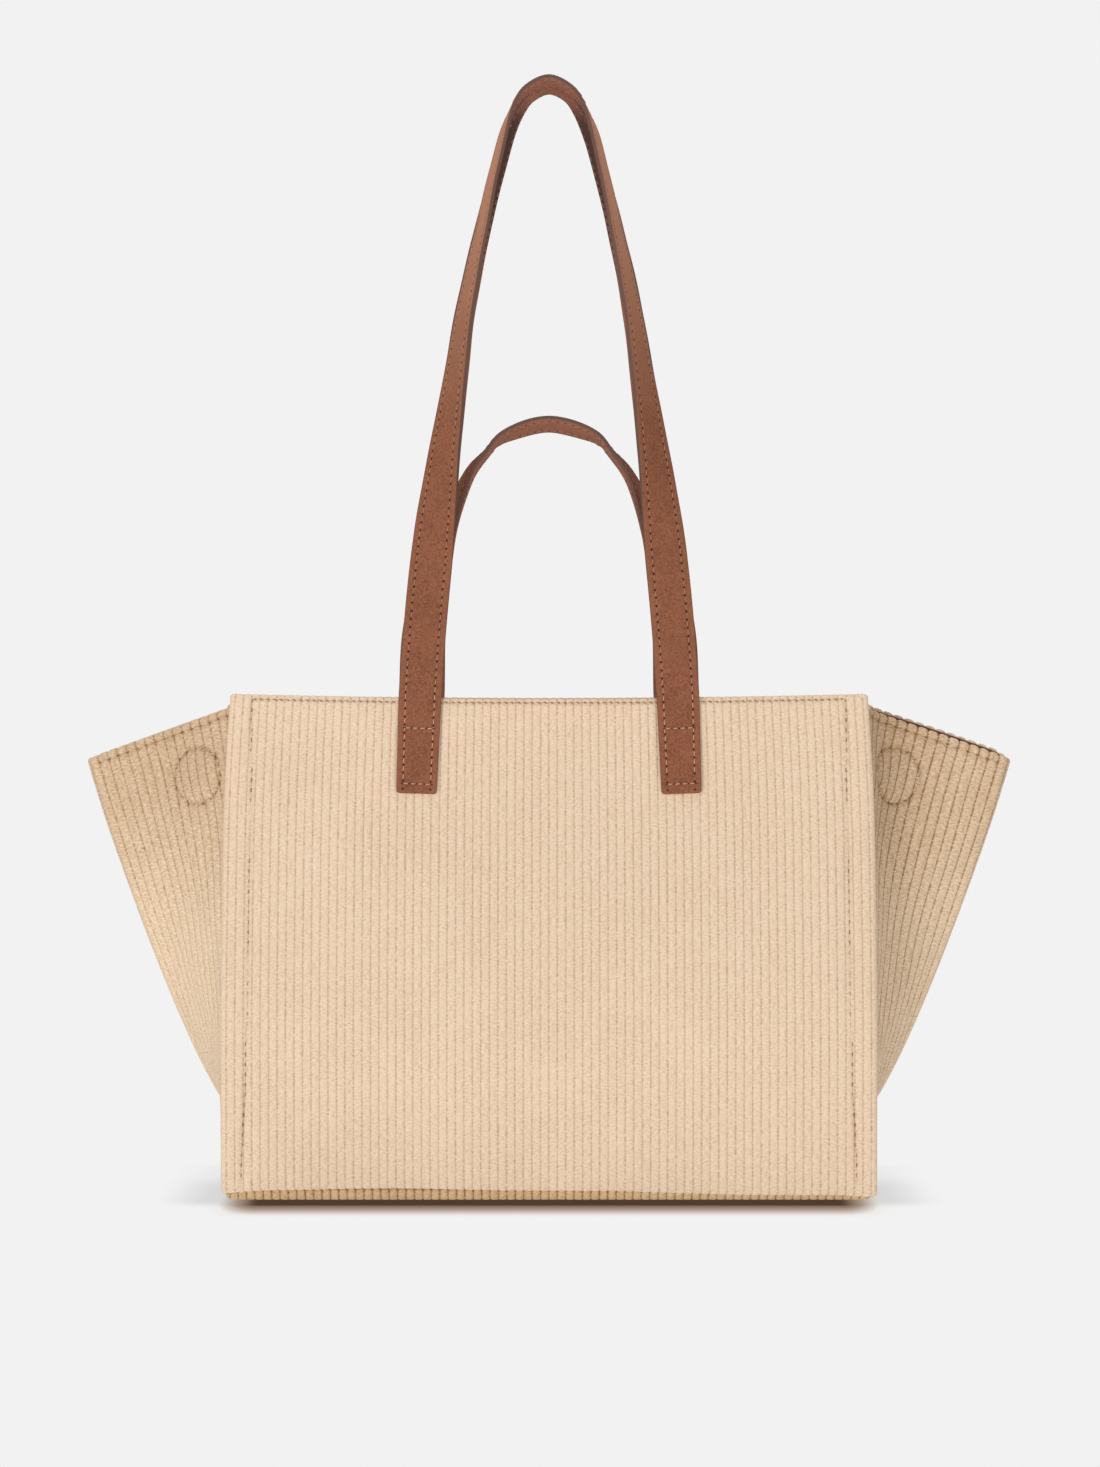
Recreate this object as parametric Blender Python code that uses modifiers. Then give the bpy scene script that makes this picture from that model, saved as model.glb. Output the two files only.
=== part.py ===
# A corduroy tote bag with side gussets pushed out into wings, two long shoulder straps
# sewn to the outside of its walls, and two short handles caught inside the rim.
# Metres, +Z up. X runs across the front, the front faces -Y, and the base stands on Z = 0.
import math

import bmesh
import bpy
from mathutils import Matrix, Vector

# Body of the bag
BASE_WIDTH = 0.325
RIM_NARROWING = 0.006
BASE_DEPTH = 0.140
MOUTH_DEPTH = 0.076
RIM_HEIGHT = 0.250
WALL_BOW = 0.0025
LEAN_START_SHARE = 0.28
TAPER_START_SHARE = 0.68

# Cloth layers of a wall, from the outside in
CLOTH_THICKNESS = 0.0016
FILLING_THICKNESS = 0.0022
LINING_THICKNESS = 0.0008
SEAT_GAP = 0.0003
LINING_DROP = 0.0006
LINING_INSET = 0.0022

# Base tray
TRAY_LIP = 0.0065
TRAY_ROUNDING = 0.0025
BOARD_THICKNESS = 0.0015

# Wings, the two halves of a side gusset folded outward along a crease
WING_REACH = 0.0725
CREASE_DROP = 0.034
WING_SEAM_DROP = 0.007
FOLD_START = 0.040
CREASE_CURVE_SHARE = 0.78
CREASE_SOFTNESS_SHARE = 0.04
WING_INSET = 0.0005
WING_SLIDE_GAP = 0.0005

# Seam allowances turned in behind the side edges of each wall
ALLOWANCE_WIDTH = 0.0140
ALLOWANCE_INSET = 0.0006
ALLOWANCE_DROP = 0.0100
FILLING_SIDE_GAP = 0.0020

# Covered magnetic buttons, one on the outside of each half of a wing
BUTTON_RADIUS = 0.0135
BUTTON_HEIGHT = 0.0045
BUTTON_SIDE_HEIGHT = 0.0014
BUTTON_COVER_THICKNESS = 0.0010
BUTTON_DROP = 0.035
BUTTON_REACH_SHARE = 0.224
BUTTON_SEAT_GAP = 0.0011
MAGNET_RADIUS = 0.0090
MAGNET_THICKNESS = 0.0020

# Leather straps, two layers glued face to back
STRAP_WIDTH = 0.0214
STRAP_FOOT_NARROWING = 0.0014
STRAP_LAYER = 0.00095
STRAP_SPACING = 0.1288
STRAP_END_LENGTH = 0.0492
STRAP_SPLAY_SHARE = 0.035
LONG_TILT = math.radians(5.9)
SHORT_TILT = math.radians(16)
LONG_DROP = 0.3086
SHORT_DROP = 0.1357

# Share of the drop against share of half the spacing, from the rim to the top of the arch.
# The rear strap and handle rise a little inside the front ones and show along their inner edge.
FRONT_LONG_ROUTE_SHARES = (
    (0.0, 1.0), (0.109, 0.962), (0.217, 0.912), (0.351, 0.838), (0.489, 0.747), (0.629, 0.645),
    (0.768, 0.512), (0.885, 0.388), (0.935, 0.322), (0.968, 0.246), (0.988, 0.150), (1.0, 0.0),
)
BACK_LONG_ROUTE_SHARES = (
    (0.0, 1.0), (0.109, 0.990), (0.217, 0.944), (0.351, 0.865), (0.489, 0.768), (0.629, 0.668),
    (0.768, 0.528), (0.885, 0.380), (0.935, 0.302), (0.968, 0.222), (0.988, 0.140), (1.0, 0.0),
)
FRONT_SHORT_ROUTE_SHARES = (
    (0.0, 1.0), (0.20, 0.985), (0.38, 0.935), (0.50, 0.875), (0.604, 0.811), (0.714, 0.725),
    (0.825, 0.617), (0.898, 0.492), (0.958, 0.335), (1.0, 0.0),
)
BACK_SHORT_ROUTE_SHARES = (
    (0.0, 1.0), (0.20, 0.992), (0.38, 0.950), (0.50, 0.889), (0.604, 0.826), (0.714, 0.735),
    (0.825, 0.618), (0.898, 0.482), (0.958, 0.322), (1.0, 0.0),
)
# How late in its rise a strap leans in to meet its twin over the mouth
LONG_LEAN_CURVE_SHARE = 1.6
SHORT_LEAN_CURVE_SHARE = 0.85
# Turn of a leg about its own length: share of the turn against share of the drop, then the arch
FRONT_LEG_TURN = math.radians(80)
BACK_LEG_TURN = math.radians(77)
QUARTER_TURN = math.radians(90)
LONG_TURN_SHARES = (
    (0.0, 0.0), (0.12, 0.02), (0.17, 0.06), (0.216, 0.13), (0.264, 0.25), (0.313, 0.39), (0.362, 0.51),
    (0.43, 0.64), (0.509, 0.76), (0.60, 0.85), (0.723, 0.925), (0.805, 0.966), (0.89, 1.0), (1.0, 1.0),
)
SHORT_TURN_SHARES = (
    (0.0, 0.0), (0.18, 0.10), (0.36, 0.36), (0.54, 0.65), (0.72, 0.86), (0.84, 0.94), (0.92, 1.0),
    (1.0, 1.0),
)
LONG_ARCH_START_SHARE = 0.905
SHORT_ARCH_START_SHARE = 0.87

# Facets and numerical steps
WALL_COLUMNS = 6
WALL_ROWS = 14
WING_COLUMNS = 12
WING_ROWS = 14
LONG_STRAP_STEPS = 64
SHORT_HANDLE_STEPS = 40
ROUND_STEPS = 24
PROFILE_STEPS = 5
ROUNDING_STEPS = 3
END_ROWS = 4
ROUTE_SAMPLES = 24
HALVINGS = 30
SLOPE_STEP_SHARE = 0.01
LEVEL_SHARE = 0.9
MERGE_DISTANCE = 0.00001

# Sizes that follow from the ones above
STRAP_THICKNESS = 2 * STRAP_LAYER + SEAT_GAP
FILLING_DEPTH = CLOTH_THICKNESS + SEAT_GAP
LINING_DEPTH = FILLING_DEPTH + FILLING_THICKNESS + SEAT_GAP
WALL_THICKNESS = LINING_DEPTH + LINING_THICKNESS
WING_LINING_DEPTH = CLOTH_THICKNESS + SEAT_GAP
WING_THICKNESS = WING_LINING_DEPTH + LINING_THICKNESS
PANEL_BOTTOM = TRAY_LIP + SEAT_GAP
BOARD_BOTTOM = CLOTH_THICKNESS + SEAT_GAP
BASE_LINING_BOTTOM = BOARD_BOTTOM + BOARD_THICKNESS + SEAT_GAP
LINING_BOTTOM = BASE_LINING_BOTTOM + LINING_THICKNESS + SEAT_GAP
RIM_WIDTH = BASE_WIDTH - RIM_NARROWING
WING_SEAM_TOP = RIM_HEIGHT - WING_SEAM_DROP
CREASE_TOP = RIM_HEIGHT - CREASE_DROP
BUTTON_HEIGHT_ON_WING = WING_SEAM_TOP - BUTTON_DROP
STRAP_END_BOTTOM = RIM_HEIGHT - STRAP_END_LENGTH
STRAP_ROOT_HEIGHT = RIM_HEIGHT + SEAT_GAP
HINGE_HEIGHT = RIM_HEIGHT + SEAT_GAP / 2

FRONT = -1
BACK = 1

LEG_TURNS = {FRONT: FRONT_LEG_TURN, BACK: BACK_LEG_TURN}
# The arches of the long straps lie side by side in one plane that slopes down to the back
LONG_STRAP = {
    "route": {FRONT: FRONT_LONG_ROUTE_SHARES, BACK: BACK_LONG_ROUTE_SHARES},
    "drop": {FRONT: LONG_DROP, BACK: LONG_DROP - STRAP_WIDTH * math.sin(LONG_TILT)},
    "tilt": {FRONT: LONG_TILT, BACK: -LONG_TILT}, "lean": LONG_LEAN_CURVE_SHARE,
    "turns": LONG_TURN_SHARES, "arch_start": LONG_ARCH_START_SHARE, "steps": LONG_STRAP_STEPS,
}
SHORT_HANDLE = {
    "route": {FRONT: FRONT_SHORT_ROUTE_SHARES, BACK: BACK_SHORT_ROUTE_SHARES},
    "drop": {FRONT: SHORT_DROP, BACK: SHORT_DROP},
    "tilt": {FRONT: SHORT_TILT, BACK: SHORT_TILT}, "lean": SHORT_LEAN_CURVE_SHARE,
    "turns": SHORT_TURN_SHARES, "arch_start": SHORT_ARCH_START_SHARE, "steps": SHORT_HANDLE_STEPS,
}

LEFT = -1
RIGHT = 1
WALL_NAMES = {FRONT: "front", BACK: "back"}
SIDE_NAMES = {LEFT: "left", RIGHT: "right"}


def clear_scene():
    for thing in list(bpy.data.objects):
        bpy.data.objects.remove(thing, do_unlink=True)


def make_collection(name):
    collection = bpy.data.collections.new(name)
    bpy.context.scene.collection.children.link(collection)
    return collection


def make_material(name, colour, roughness, metallic):
    material = bpy.data.materials.new(name)
    material.use_nodes = True
    shader = material.node_tree.nodes["Principled BSDF"]
    shader.inputs["Base Color"].default_value = (*colour, 1.0)
    shader.inputs["Roughness"].default_value = roughness
    shader.inputs["Metallic"].default_value = metallic
    return material


def link_mesh(name, mesh, material, collection, origin):
    # The mesh comes in the bag's own frame and is moved back by the origin it hangs from.
    mesh.transform(Matrix.Translation(-origin))
    mesh.materials.append(material)
    thing = bpy.data.objects.new(name, mesh)
    thing.location = origin
    collection.objects.link(thing)
    return thing


def make_sheet(name, columns, rows, place, material, collection, origin=Vector()):
    # An open sheet: place takes the shares across and up it and gives the point.
    bm = bmesh.new()
    bmesh.ops.create_grid(bm, x_segments=columns, y_segments=rows, size=1.0)
    for vertex in bm.verts:
        across = (vertex.co.x + 1.0) / 2
        up = (vertex.co.y + 1.0) / 2
        vertex.co = place(across, up)
    mesh = bpy.data.meshes.new(name)
    bm.to_mesh(mesh)
    bm.free()
    return link_mesh(name, mesh, material, collection, origin)


def thicken(thing, depth, thickness):
    # The layer lies from depth to depth + thickness under the sheet's outer side.
    layer = thing.modifiers.new("layer", "SOLIDIFY")
    layer.thickness = thickness
    layer.offset = -1 - 2 * depth / thickness
    layer.use_even_offset = True
    return thing


def mix(first, last, share):
    return first + (last - first) * share


def smooth_step(share):
    share = min(max(share, 0.0), 1.0)
    return share * share * (3 - 2 * share)


def half_width(z):
    # One width up to the shoulder, then drawn in ever faster to the rim.
    taper = max((z / RIM_HEIGHT - TAPER_START_SHARE) / (1 - TAPER_START_SHARE), 0.0) ** 2
    return mix(BASE_WIDTH, RIM_WIDTH, taper) / 2


def half_depth(z):
    # Upright near the base, then leaning in to the narrow mouth.
    lean = smooth_step((z / RIM_HEIGHT - LEAN_START_SHARE) / (1 - LEAN_START_SHARE))
    return mix(BASE_DEPTH, MOUTH_DEPTH, lean) / 2


def wall_point(x, z, wall):
    # The outer face of the front or back wall, bowed out a little between its edges.
    bow = WALL_BOW * (1 - (x / half_width(z)) ** 2) * math.sin(math.pi * z / RIM_HEIGHT)
    return Vector((x, wall * (half_depth(z) + bow), z))


def make_wall_layer(name, wall, inset, bottom, top, depth, thickness, material, collection):
    def place(across, up):
        z = mix(bottom, top, up)
        x = -wall * (2 * across - 1) * (half_width(z) - inset)
        return wall_point(x, z, wall)

    sheet = make_sheet(name, WALL_COLUMNS, WALL_ROWS, place, material, collection)
    return thicken(sheet, depth, thickness)


def make_strap_end(name, wall, side, depth, thickness, material, collection):
    # The sewn end of a strap, lying on the wall and splayed away from its twin towards its foot.
    def place(across, up):
        z = mix(STRAP_END_BOTTOM, RIM_HEIGHT, up)
        middle = side * (STRAP_SPACING / 2 + STRAP_SPLAY_SHARE * (RIM_HEIGHT - z))
        width = STRAP_WIDTH - STRAP_FOOT_NARROWING * (1 - up)
        return wall_point(middle - wall * width * (across - 1 / 2), z, wall)

    sheet = make_sheet(name, 1, END_ROWS, place, material, collection)
    return thicken(sheet, depth, thickness)


def make_walls(materials, collection):
    for wall, wall_name in WALL_NAMES.items():
        make_wall_layer(
            wall_name + "_panel", wall, 0.0, PANEL_BOTTOM, RIM_HEIGHT, 0.0, CLOTH_THICKNESS,
            materials["corduroy"], collection)
        make_wall_layer(
            wall_name + "_interlining", wall, ALLOWANCE_INSET + ALLOWANCE_WIDTH + FILLING_SIDE_GAP,
            LINING_BOTTOM, STRAP_END_BOTTOM - FILLING_SIDE_GAP, FILLING_DEPTH, FILLING_THICKNESS,
            materials["felt"], collection)
        make_wall_layer(
            wall_name + "_lining", wall, LINING_INSET, LINING_BOTTOM, RIM_HEIGHT - LINING_DROP,
            LINING_DEPTH, LINING_THICKNESS, materials["lining"], collection)


def make_seam_allowance(wall, side, materials, collection):
    # The wing's cloth turned in and stitched flat behind the side edge of the wall.
    def place(across, up):
        z = mix(PANEL_BOTTOM, RIM_HEIGHT - ALLOWANCE_DROP, up)
        outer = half_width(z) - ALLOWANCE_INSET
        share = across if side * wall == FRONT else 1 - across
        return wall_point(side * mix(outer - ALLOWANCE_WIDTH, outer, share), z, wall)

    name = WALL_NAMES[wall] + "_" + SIDE_NAMES[side] + "_seam_allowance"
    sheet = make_sheet(name, 1, WALL_ROWS, place, materials["corduroy"], collection)
    return thicken(sheet, FILLING_DEPTH, FILLING_THICKNESS)


def make_strap_ends(materials, collection):
    # A long strap is sewn on outside the wall, a short handle lies between panel and lining.
    for wall, wall_name in WALL_NAMES.items():
        for side, side_name in SIDE_NAMES.items():
            make_strap_end(
                wall_name + "_long_strap_" + side_name + "_end", wall, side, -SEAT_GAP - STRAP_THICKNESS,
                STRAP_THICKNESS, materials["leather"], collection)
            make_strap_end(
                wall_name + "_short_handle_" + side_name + "_end", wall, side, FILLING_DEPTH,
                FILLING_THICKNESS, materials["leather"], collection)


def make_base(materials, collection):
    # A shallow tray of cloth: its lip turns up to meet the walls and wings.
    bm = bmesh.new()
    bmesh.ops.create_cube(bm, size=1.0)
    size = Vector((BASE_WIDTH, BASE_DEPTH, TRAY_LIP))
    bmesh.ops.scale(bm, vec=size, verts=bm.verts)
    bmesh.ops.translate(bm, vec=Vector((0.0, 0.0, TRAY_LIP / 2)), verts=bm.verts)
    top = [face for face in bm.faces if face.normal.z > LEVEL_SHARE]
    bmesh.ops.delete(bm, geom=top, context="FACES")
    round_edges = [edge for edge in bm.edges if not edge.is_boundary]
    bmesh.ops.bevel(
        bm, geom=round_edges, offset=TRAY_ROUNDING, segments=ROUNDING_STEPS, profile=0.5, affect="EDGES")
    mesh = bpy.data.meshes.new("base_panel")
    bm.to_mesh(mesh)
    bm.free()
    tray = link_mesh("base_panel", mesh, materials["corduroy"], collection, Vector())
    thicken(tray, 0.0, CLOTH_THICKNESS)

    inside = 2 * (CLOTH_THICKNESS + SEAT_GAP)
    make_slab(
        "base_board", BASE_WIDTH - inside - 2 * TRAY_ROUNDING, BASE_DEPTH - inside - 2 * TRAY_ROUNDING,
        BOARD_BOTTOM, BOARD_THICKNESS, materials["board"], collection)
    make_slab(
        "base_lining", BASE_WIDTH - inside, BASE_DEPTH - inside, BASE_LINING_BOTTOM, LINING_THICKNESS,
        materials["lining"], collection)


def make_slab(name, width, depth, bottom, thickness, material, collection):
    bm = bmesh.new()
    bmesh.ops.create_cube(bm, size=1.0)
    bmesh.ops.scale(bm, vec=Vector((width, depth, thickness)), verts=bm.verts)
    bmesh.ops.translate(bm, vec=Vector((0.0, 0.0, bottom + thickness / 2)), verts=bm.verts)
    mesh = bpy.data.meshes.new(name)
    bm.to_mesh(mesh)
    bm.free()
    return link_mesh(name, mesh, material, collection, Vector())


def crease_reach(z):
    # The crease leaves the side seam above the base and bends out to its full reach.
    share = max((z - FOLD_START) / (CREASE_TOP - FOLD_START), 0.0)
    return WING_REACH * share ** CREASE_CURVE_SHARE


def wing_point(turn, up, side):
    # turn runs from -1 at the front seam over 0 at the crease to 1 at the rear seam.
    seam_z = mix(PANEL_BOTTOM, WING_SEAM_TOP, up)
    crease_z = mix(PANEL_BOTTOM, CREASE_TOP, up)
    seam_x = half_width(seam_z) - WING_INSET
    crease_x = half_width(crease_z) - WING_INSET + crease_reach(crease_z)
    softness = CREASE_SOFTNESS_SHARE
    fold = (math.hypot(turn, softness) - softness) / (math.hypot(1.0, softness) - softness)
    y = turn * (half_depth(seam_z) - WALL_THICKNESS - WING_SLIDE_GAP)
    return Vector((side * mix(crease_x, seam_x, fold), y, mix(crease_z, seam_z, fold)))


def wing_hinge(side):
    # The inner bottom edge of the wing's lining, where the wing tips into the bag.
    inner = half_width(PANEL_BOTTOM) - WING_INSET - WING_THICKNESS
    return Vector((side * inner, 0.0, PANEL_BOTTOM))


def make_wing(side, materials, collection):
    def place(across, up):
        return wing_point(side * (2 * across - 1), up, side)

    name = SIDE_NAMES[side] + "_gusset"
    outer = make_sheet(
        name, WING_COLUMNS, WING_ROWS, place, materials["corduroy"], collection, wing_hinge(side))
    thicken(outer, 0.0, CLOTH_THICKNESS)
    lining = make_sheet(
        name + "_lining", WING_COLUMNS, WING_ROWS, place, materials["lining"], collection, wing_hinge(side))
    thicken(lining, WING_LINING_DEPTH, LINING_THICKNESS)
    for wall in WALL_NAMES:
        make_button(side, wall, outer, materials, collection)


def button_seat(side, wall):
    # The point and outward direction on the wing where the middle of a button sits.
    turn = wall * (1 - BUTTON_REACH_SHARE)
    low = 0.0
    high = 1.0
    for _ in range(HALVINGS):
        up = (low + high) / 2
        if wing_point(turn, up, side).z < BUTTON_HEIGHT_ON_WING:
            low = up
        else:
            high = up
    middle = wing_point(turn, up, side)
    step = SLOPE_STEP_SHARE
    along = wing_point(turn * (1 - step), up, side) - wing_point(turn * (1 + step), up, side)
    rise = wing_point(turn, up + step, side) - wing_point(turn, up - step, side)
    outward = along.cross(rise).normalized()
    if outward.x * side < 0:
        outward.negate()
    return middle, outward


def make_turned(name, profile, frame, material, collection, carrier):
    # A profile of radius and height pairs turned about its own Z, set in a frame on its carrier.
    mesh = bpy.data.meshes.new(name)
    points = [(radius, 0.0, height) for radius, height in profile]
    edges = [(index, index + 1) for index in range(len(points) - 1)]
    mesh.from_pydata(points, edges, [])
    thing = bpy.data.objects.new(name, mesh)
    mesh.materials.append(material)
    collection.objects.link(thing)
    thing.parent = carrier
    thing.matrix_local = frame
    turned = thing.modifiers.new("turned", "SCREW")
    turned.steps = ROUND_STEPS
    turned.render_steps = ROUND_STEPS
    turned.use_merge_vertices = True
    turned.merge_threshold = MERGE_DISTANCE
    return thing


def dome_profile(radius, side_height, height):
    # From the middle of the top, over the rounded shoulder, to the foot.
    profile = []
    for step in range(PROFILE_STEPS + 1):
        angle = QUARTER_TURN * step / PROFILE_STEPS
        profile.append((radius * math.sin(angle), side_height + (height - side_height) * math.cos(angle)))
    profile[0] = (0.0, height)
    profile.append((radius, 0.0))
    return profile


def make_button(side, wall, wing, materials, collection):
    # A cloth-covered cup with a magnet disc inside it, seated on the outside of the wing.
    middle, outward = button_seat(side, wall)
    seat = middle + outward * BUTTON_SEAT_GAP - wing_hinge(side)
    frame = Matrix.Translation(seat) @ outward.to_track_quat("Z", "Y").to_matrix().to_4x4()
    shell = dome_profile(BUTTON_RADIUS, BUTTON_SIDE_HEIGHT, BUTTON_HEIGHT)
    hollow = dome_profile(
        BUTTON_RADIUS - BUTTON_COVER_THICKNESS, BUTTON_SIDE_HEIGHT - SEAT_GAP,
        BUTTON_HEIGHT - BUTTON_COVER_THICKNESS)
    name = SIDE_NAMES[side] + "_" + WALL_NAMES[wall] + "_button"
    make_turned(name + "_cover", shell + hollow[::-1], frame, materials["corduroy"], collection, wing)
    magnet = [(0.0, MAGNET_THICKNESS), (MAGNET_RADIUS, MAGNET_THICKNESS), (MAGNET_RADIUS, 0.0), (0.0, 0.0)]
    make_turned(name + "_magnet", magnet, frame, materials["magnet"], collection, wing)


def smooth_route(points, steps):
    # A Catmull-Rom curve through the points, read at equal steps of its length.
    padded = [2 * points[0] - points[1]] + points + [2 * points[-1] - points[-2]]
    fine = []
    for index in range(len(points) - 1):
        before, first, last, after = padded[index:index + 4]
        for step in range(ROUTE_SAMPLES):
            t = step / ROUTE_SAMPLES
            fine.append(
                (2 * first + (last - before) * t + (2 * before - 5 * first + 4 * last - after) * t ** 2
                 + (3 * first - before - 3 * last + after) * t ** 3) / 2)
    fine.append(points[-1])
    lengths = [0.0]
    for first, last in zip(fine, fine[1:]):
        lengths.append(lengths[-1] + (last - first).length)
    route = []
    index = 0
    for step in range(steps + 1):
        target = lengths[-1] * step / steps
        while index < len(fine) - 2 and lengths[index + 1] < target:
            index += 1
        span = lengths[index + 1] - lengths[index]
        route.append(fine[index].lerp(fine[index + 1], (target - lengths[index]) / span))
    return route


def read_shares(shares, place):
    # The second value of a table of pairs, read between the two pairs around a place.
    for (low, before), (high, after) in zip(shares, shares[1:]):
        if place <= high:
            return mix(before, after, (place - low) / (high - low))
    return shares[-1][1]


def strap_turn(rise, shape, wall):
    # How far the leg has turned about its length at a share of its rise.
    leg_turn = LEG_TURNS[wall]
    leg = leg_turn * read_shares(shape["turns"], rise)
    arch_rise = (rise - shape["arch_start"]) / (1 - shape["arch_start"])
    return leg + (QUARTER_TURN + shape["tilt"][wall] - leg_turn) * smooth_step(arch_rise)


def make_strap(name, wall, shape, root_depth, hinge_depth, materials, collection):
    # One loop of strap from its left root over the arch to its right root.
    tilt = shape["tilt"][wall]
    lean_reach = STRAP_WIDTH / 2 * math.cos(tilt) + STRAP_THICKNESS / 2 * abs(math.sin(tilt))
    top_depth = lean_reach + SEAT_GAP / 2
    drop = shape["drop"][wall]
    steps = shape["steps"]
    leg = []
    for rise, spread in shape["route"][wall]:
        depth = mix(root_depth, top_depth, rise ** shape["lean"])
        leg.append(Vector((spread * STRAP_SPACING / 2, wall * depth, STRAP_ROOT_HEIGHT + drop * rise)))
    mirror = Vector((-1, 1, 1))
    route = smooth_route([point * mirror for point in leg] + leg[-2::-1], steps)
    outward = Vector((0.0, wall, 0.0))
    rows = []
    for index, middle in enumerate(route):
        # Both roots are cut level, to stand on the ends that are sewn to the wall.
        tangent = Vector((0.0, 0.0, 1.0 if index == 0 else -1.0))
        if 0 < index < steps:
            tangent = (route[index + 1] - route[index - 1]).normalized()
        front = (outward - tangent * outward.dot(tangent)).normalized()
        inner = tangent.cross(front) * -wall
        turn = strap_turn((middle.z - STRAP_ROOT_HEIGHT) / drop, shape, wall)
        width_way = inner * math.cos(turn) + front * math.sin(turn)
        rows.append((middle, width_way * STRAP_WIDTH / 2))

    def place(across, up):
        middle, half = rows[round(up * steps)]
        return middle + half * (2 * across - 1) * -wall

    hinge = Vector((0.0, wall * hinge_depth, HINGE_HEIGHT))
    face = make_sheet(name + "_face", 1, steps, place, materials["leather"], collection, hinge)
    thicken(face, -SEAT_GAP / 2 - STRAP_LAYER, STRAP_LAYER)
    backing = make_sheet(name + "_backing", 1, steps, place, materials["leather"], collection, hinge)
    thicken(backing, SEAT_GAP / 2, STRAP_LAYER)


def make_straps(materials, collection):
    rim_depth = half_depth(RIM_HEIGHT)
    for wall, wall_name in WALL_NAMES.items():
        outside = rim_depth + SEAT_GAP + STRAP_THICKNESS
        make_strap(
            wall_name + "_long_strap", wall, LONG_STRAP, outside - STRAP_THICKNESS / 2, outside,
            materials, collection)
        caught = rim_depth - FILLING_DEPTH - FILLING_THICKNESS / 2
        make_strap(wall_name + "_short_handle", wall, SHORT_HANDLE, caught, caught, materials, collection)


def main():
    clear_scene()
    collection = make_collection("corduroy_tote")
    materials = {
        "corduroy": make_material("corduroy", (0.79, 0.63, 0.44), 0.95, 0.0),
        "lining": make_material("lining", (0.10, 0.045, 0.03), 0.8, 0.0),
        "felt": make_material("felt", (0.72, 0.70, 0.66), 0.95, 0.0),
        "board": make_material("board", (0.16, 0.15, 0.14), 0.7, 0.0),
        "leather": make_material("leather", (0.29, 0.10, 0.05), 0.75, 0.0),
        "magnet": make_material("magnet", (0.55, 0.55, 0.56), 0.35, 1.0),
    }
    make_base(materials, collection)
    make_walls(materials, collection)
    for wall in WALL_NAMES:
        for side in SIDE_NAMES:
            make_seam_allowance(wall, side, materials, collection)
    make_strap_ends(materials, collection)
    for side in SIDE_NAMES:
        make_wing(side, materials, collection)
    make_straps(materials, collection)


main()
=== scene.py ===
import math
import bpy
import numpy as np
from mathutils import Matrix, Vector


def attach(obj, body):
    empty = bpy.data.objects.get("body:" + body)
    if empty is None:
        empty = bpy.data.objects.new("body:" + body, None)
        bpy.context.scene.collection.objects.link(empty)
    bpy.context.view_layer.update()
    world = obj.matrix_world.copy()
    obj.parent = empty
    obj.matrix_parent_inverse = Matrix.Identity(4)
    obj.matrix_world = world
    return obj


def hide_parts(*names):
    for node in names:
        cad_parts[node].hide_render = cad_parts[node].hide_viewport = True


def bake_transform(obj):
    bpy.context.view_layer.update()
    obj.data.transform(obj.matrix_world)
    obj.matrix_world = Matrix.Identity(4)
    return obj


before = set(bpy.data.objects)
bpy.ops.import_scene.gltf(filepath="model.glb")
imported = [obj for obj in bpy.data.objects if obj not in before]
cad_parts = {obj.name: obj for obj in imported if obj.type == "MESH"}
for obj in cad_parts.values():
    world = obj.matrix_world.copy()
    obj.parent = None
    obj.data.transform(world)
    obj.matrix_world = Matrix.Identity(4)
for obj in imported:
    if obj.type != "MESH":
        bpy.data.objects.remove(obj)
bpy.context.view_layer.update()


# Numbers and curves

def smoothStep(share):
    # 3 s² - 2 s³, held between 0 and 1
    share = np.clip(share, 0.0, 1.0)
    return share * share * (3 - 2 * share)


def mixValues(first, last, share):
    return first + (last - first) * share


def gentle(value, places, values):
    # a table read with its corners rounded: the mean of five readings, a sixtieth of its span apart
    step = (places[-1] - places[0]) / 60
    return sum(np.interp(value + k * step, places, values) for k in (-2, -1, 0, 1, 2)) / 5


def bell(distance, width):
    # exp(-(distance / width)²), one on the line and fading to both sides
    return np.exp(-(distance / width) ** 2)


def unitRows(vectors):
    return vectors / np.maximum(np.linalg.norm(vectors, axis=-1, keepdims=True), 1e-9)


def stacked(*parts):
    # the parts spread to one shape and laid side by side on a last axis
    return np.stack(np.broadcast_arrays(*parts), axis=-1)


def gridNormals(points):
    # the step across the columns crossed with the step up the rows
    return unitRows(np.cross(np.gradient(points, axis=1), np.gradient(points, axis=0)))


def runAlong(points):
    # the length run so far at each point of a line, or of several lines side by side
    steps = np.linalg.norm(np.diff(points, axis=-2), axis=-1)
    return np.cumsum(np.concatenate([steps[..., :1] * 0, steps], axis=-1), axis=-1)


def readLine(where, run, points):
    # the points of a line read at other places of its run
    return np.stack([np.interp(where, run, column) for column in points.T], axis=1)


def gentleWaves(x, z, span, seed):
    # three crossing sine waves, each a little shorter than the one before
    a = np.sin(x / span + seed) * np.cos(0.8 * z / span + 2 * seed)
    b = np.sin(1.7 * (x + z) / span + 3 * seed)
    c = np.cos(2.6 * (x - 1.3 * z) / span + 5 * seed)
    return (a + 0.6 * b + 0.4 * c) / 2


# Meshes

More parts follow.
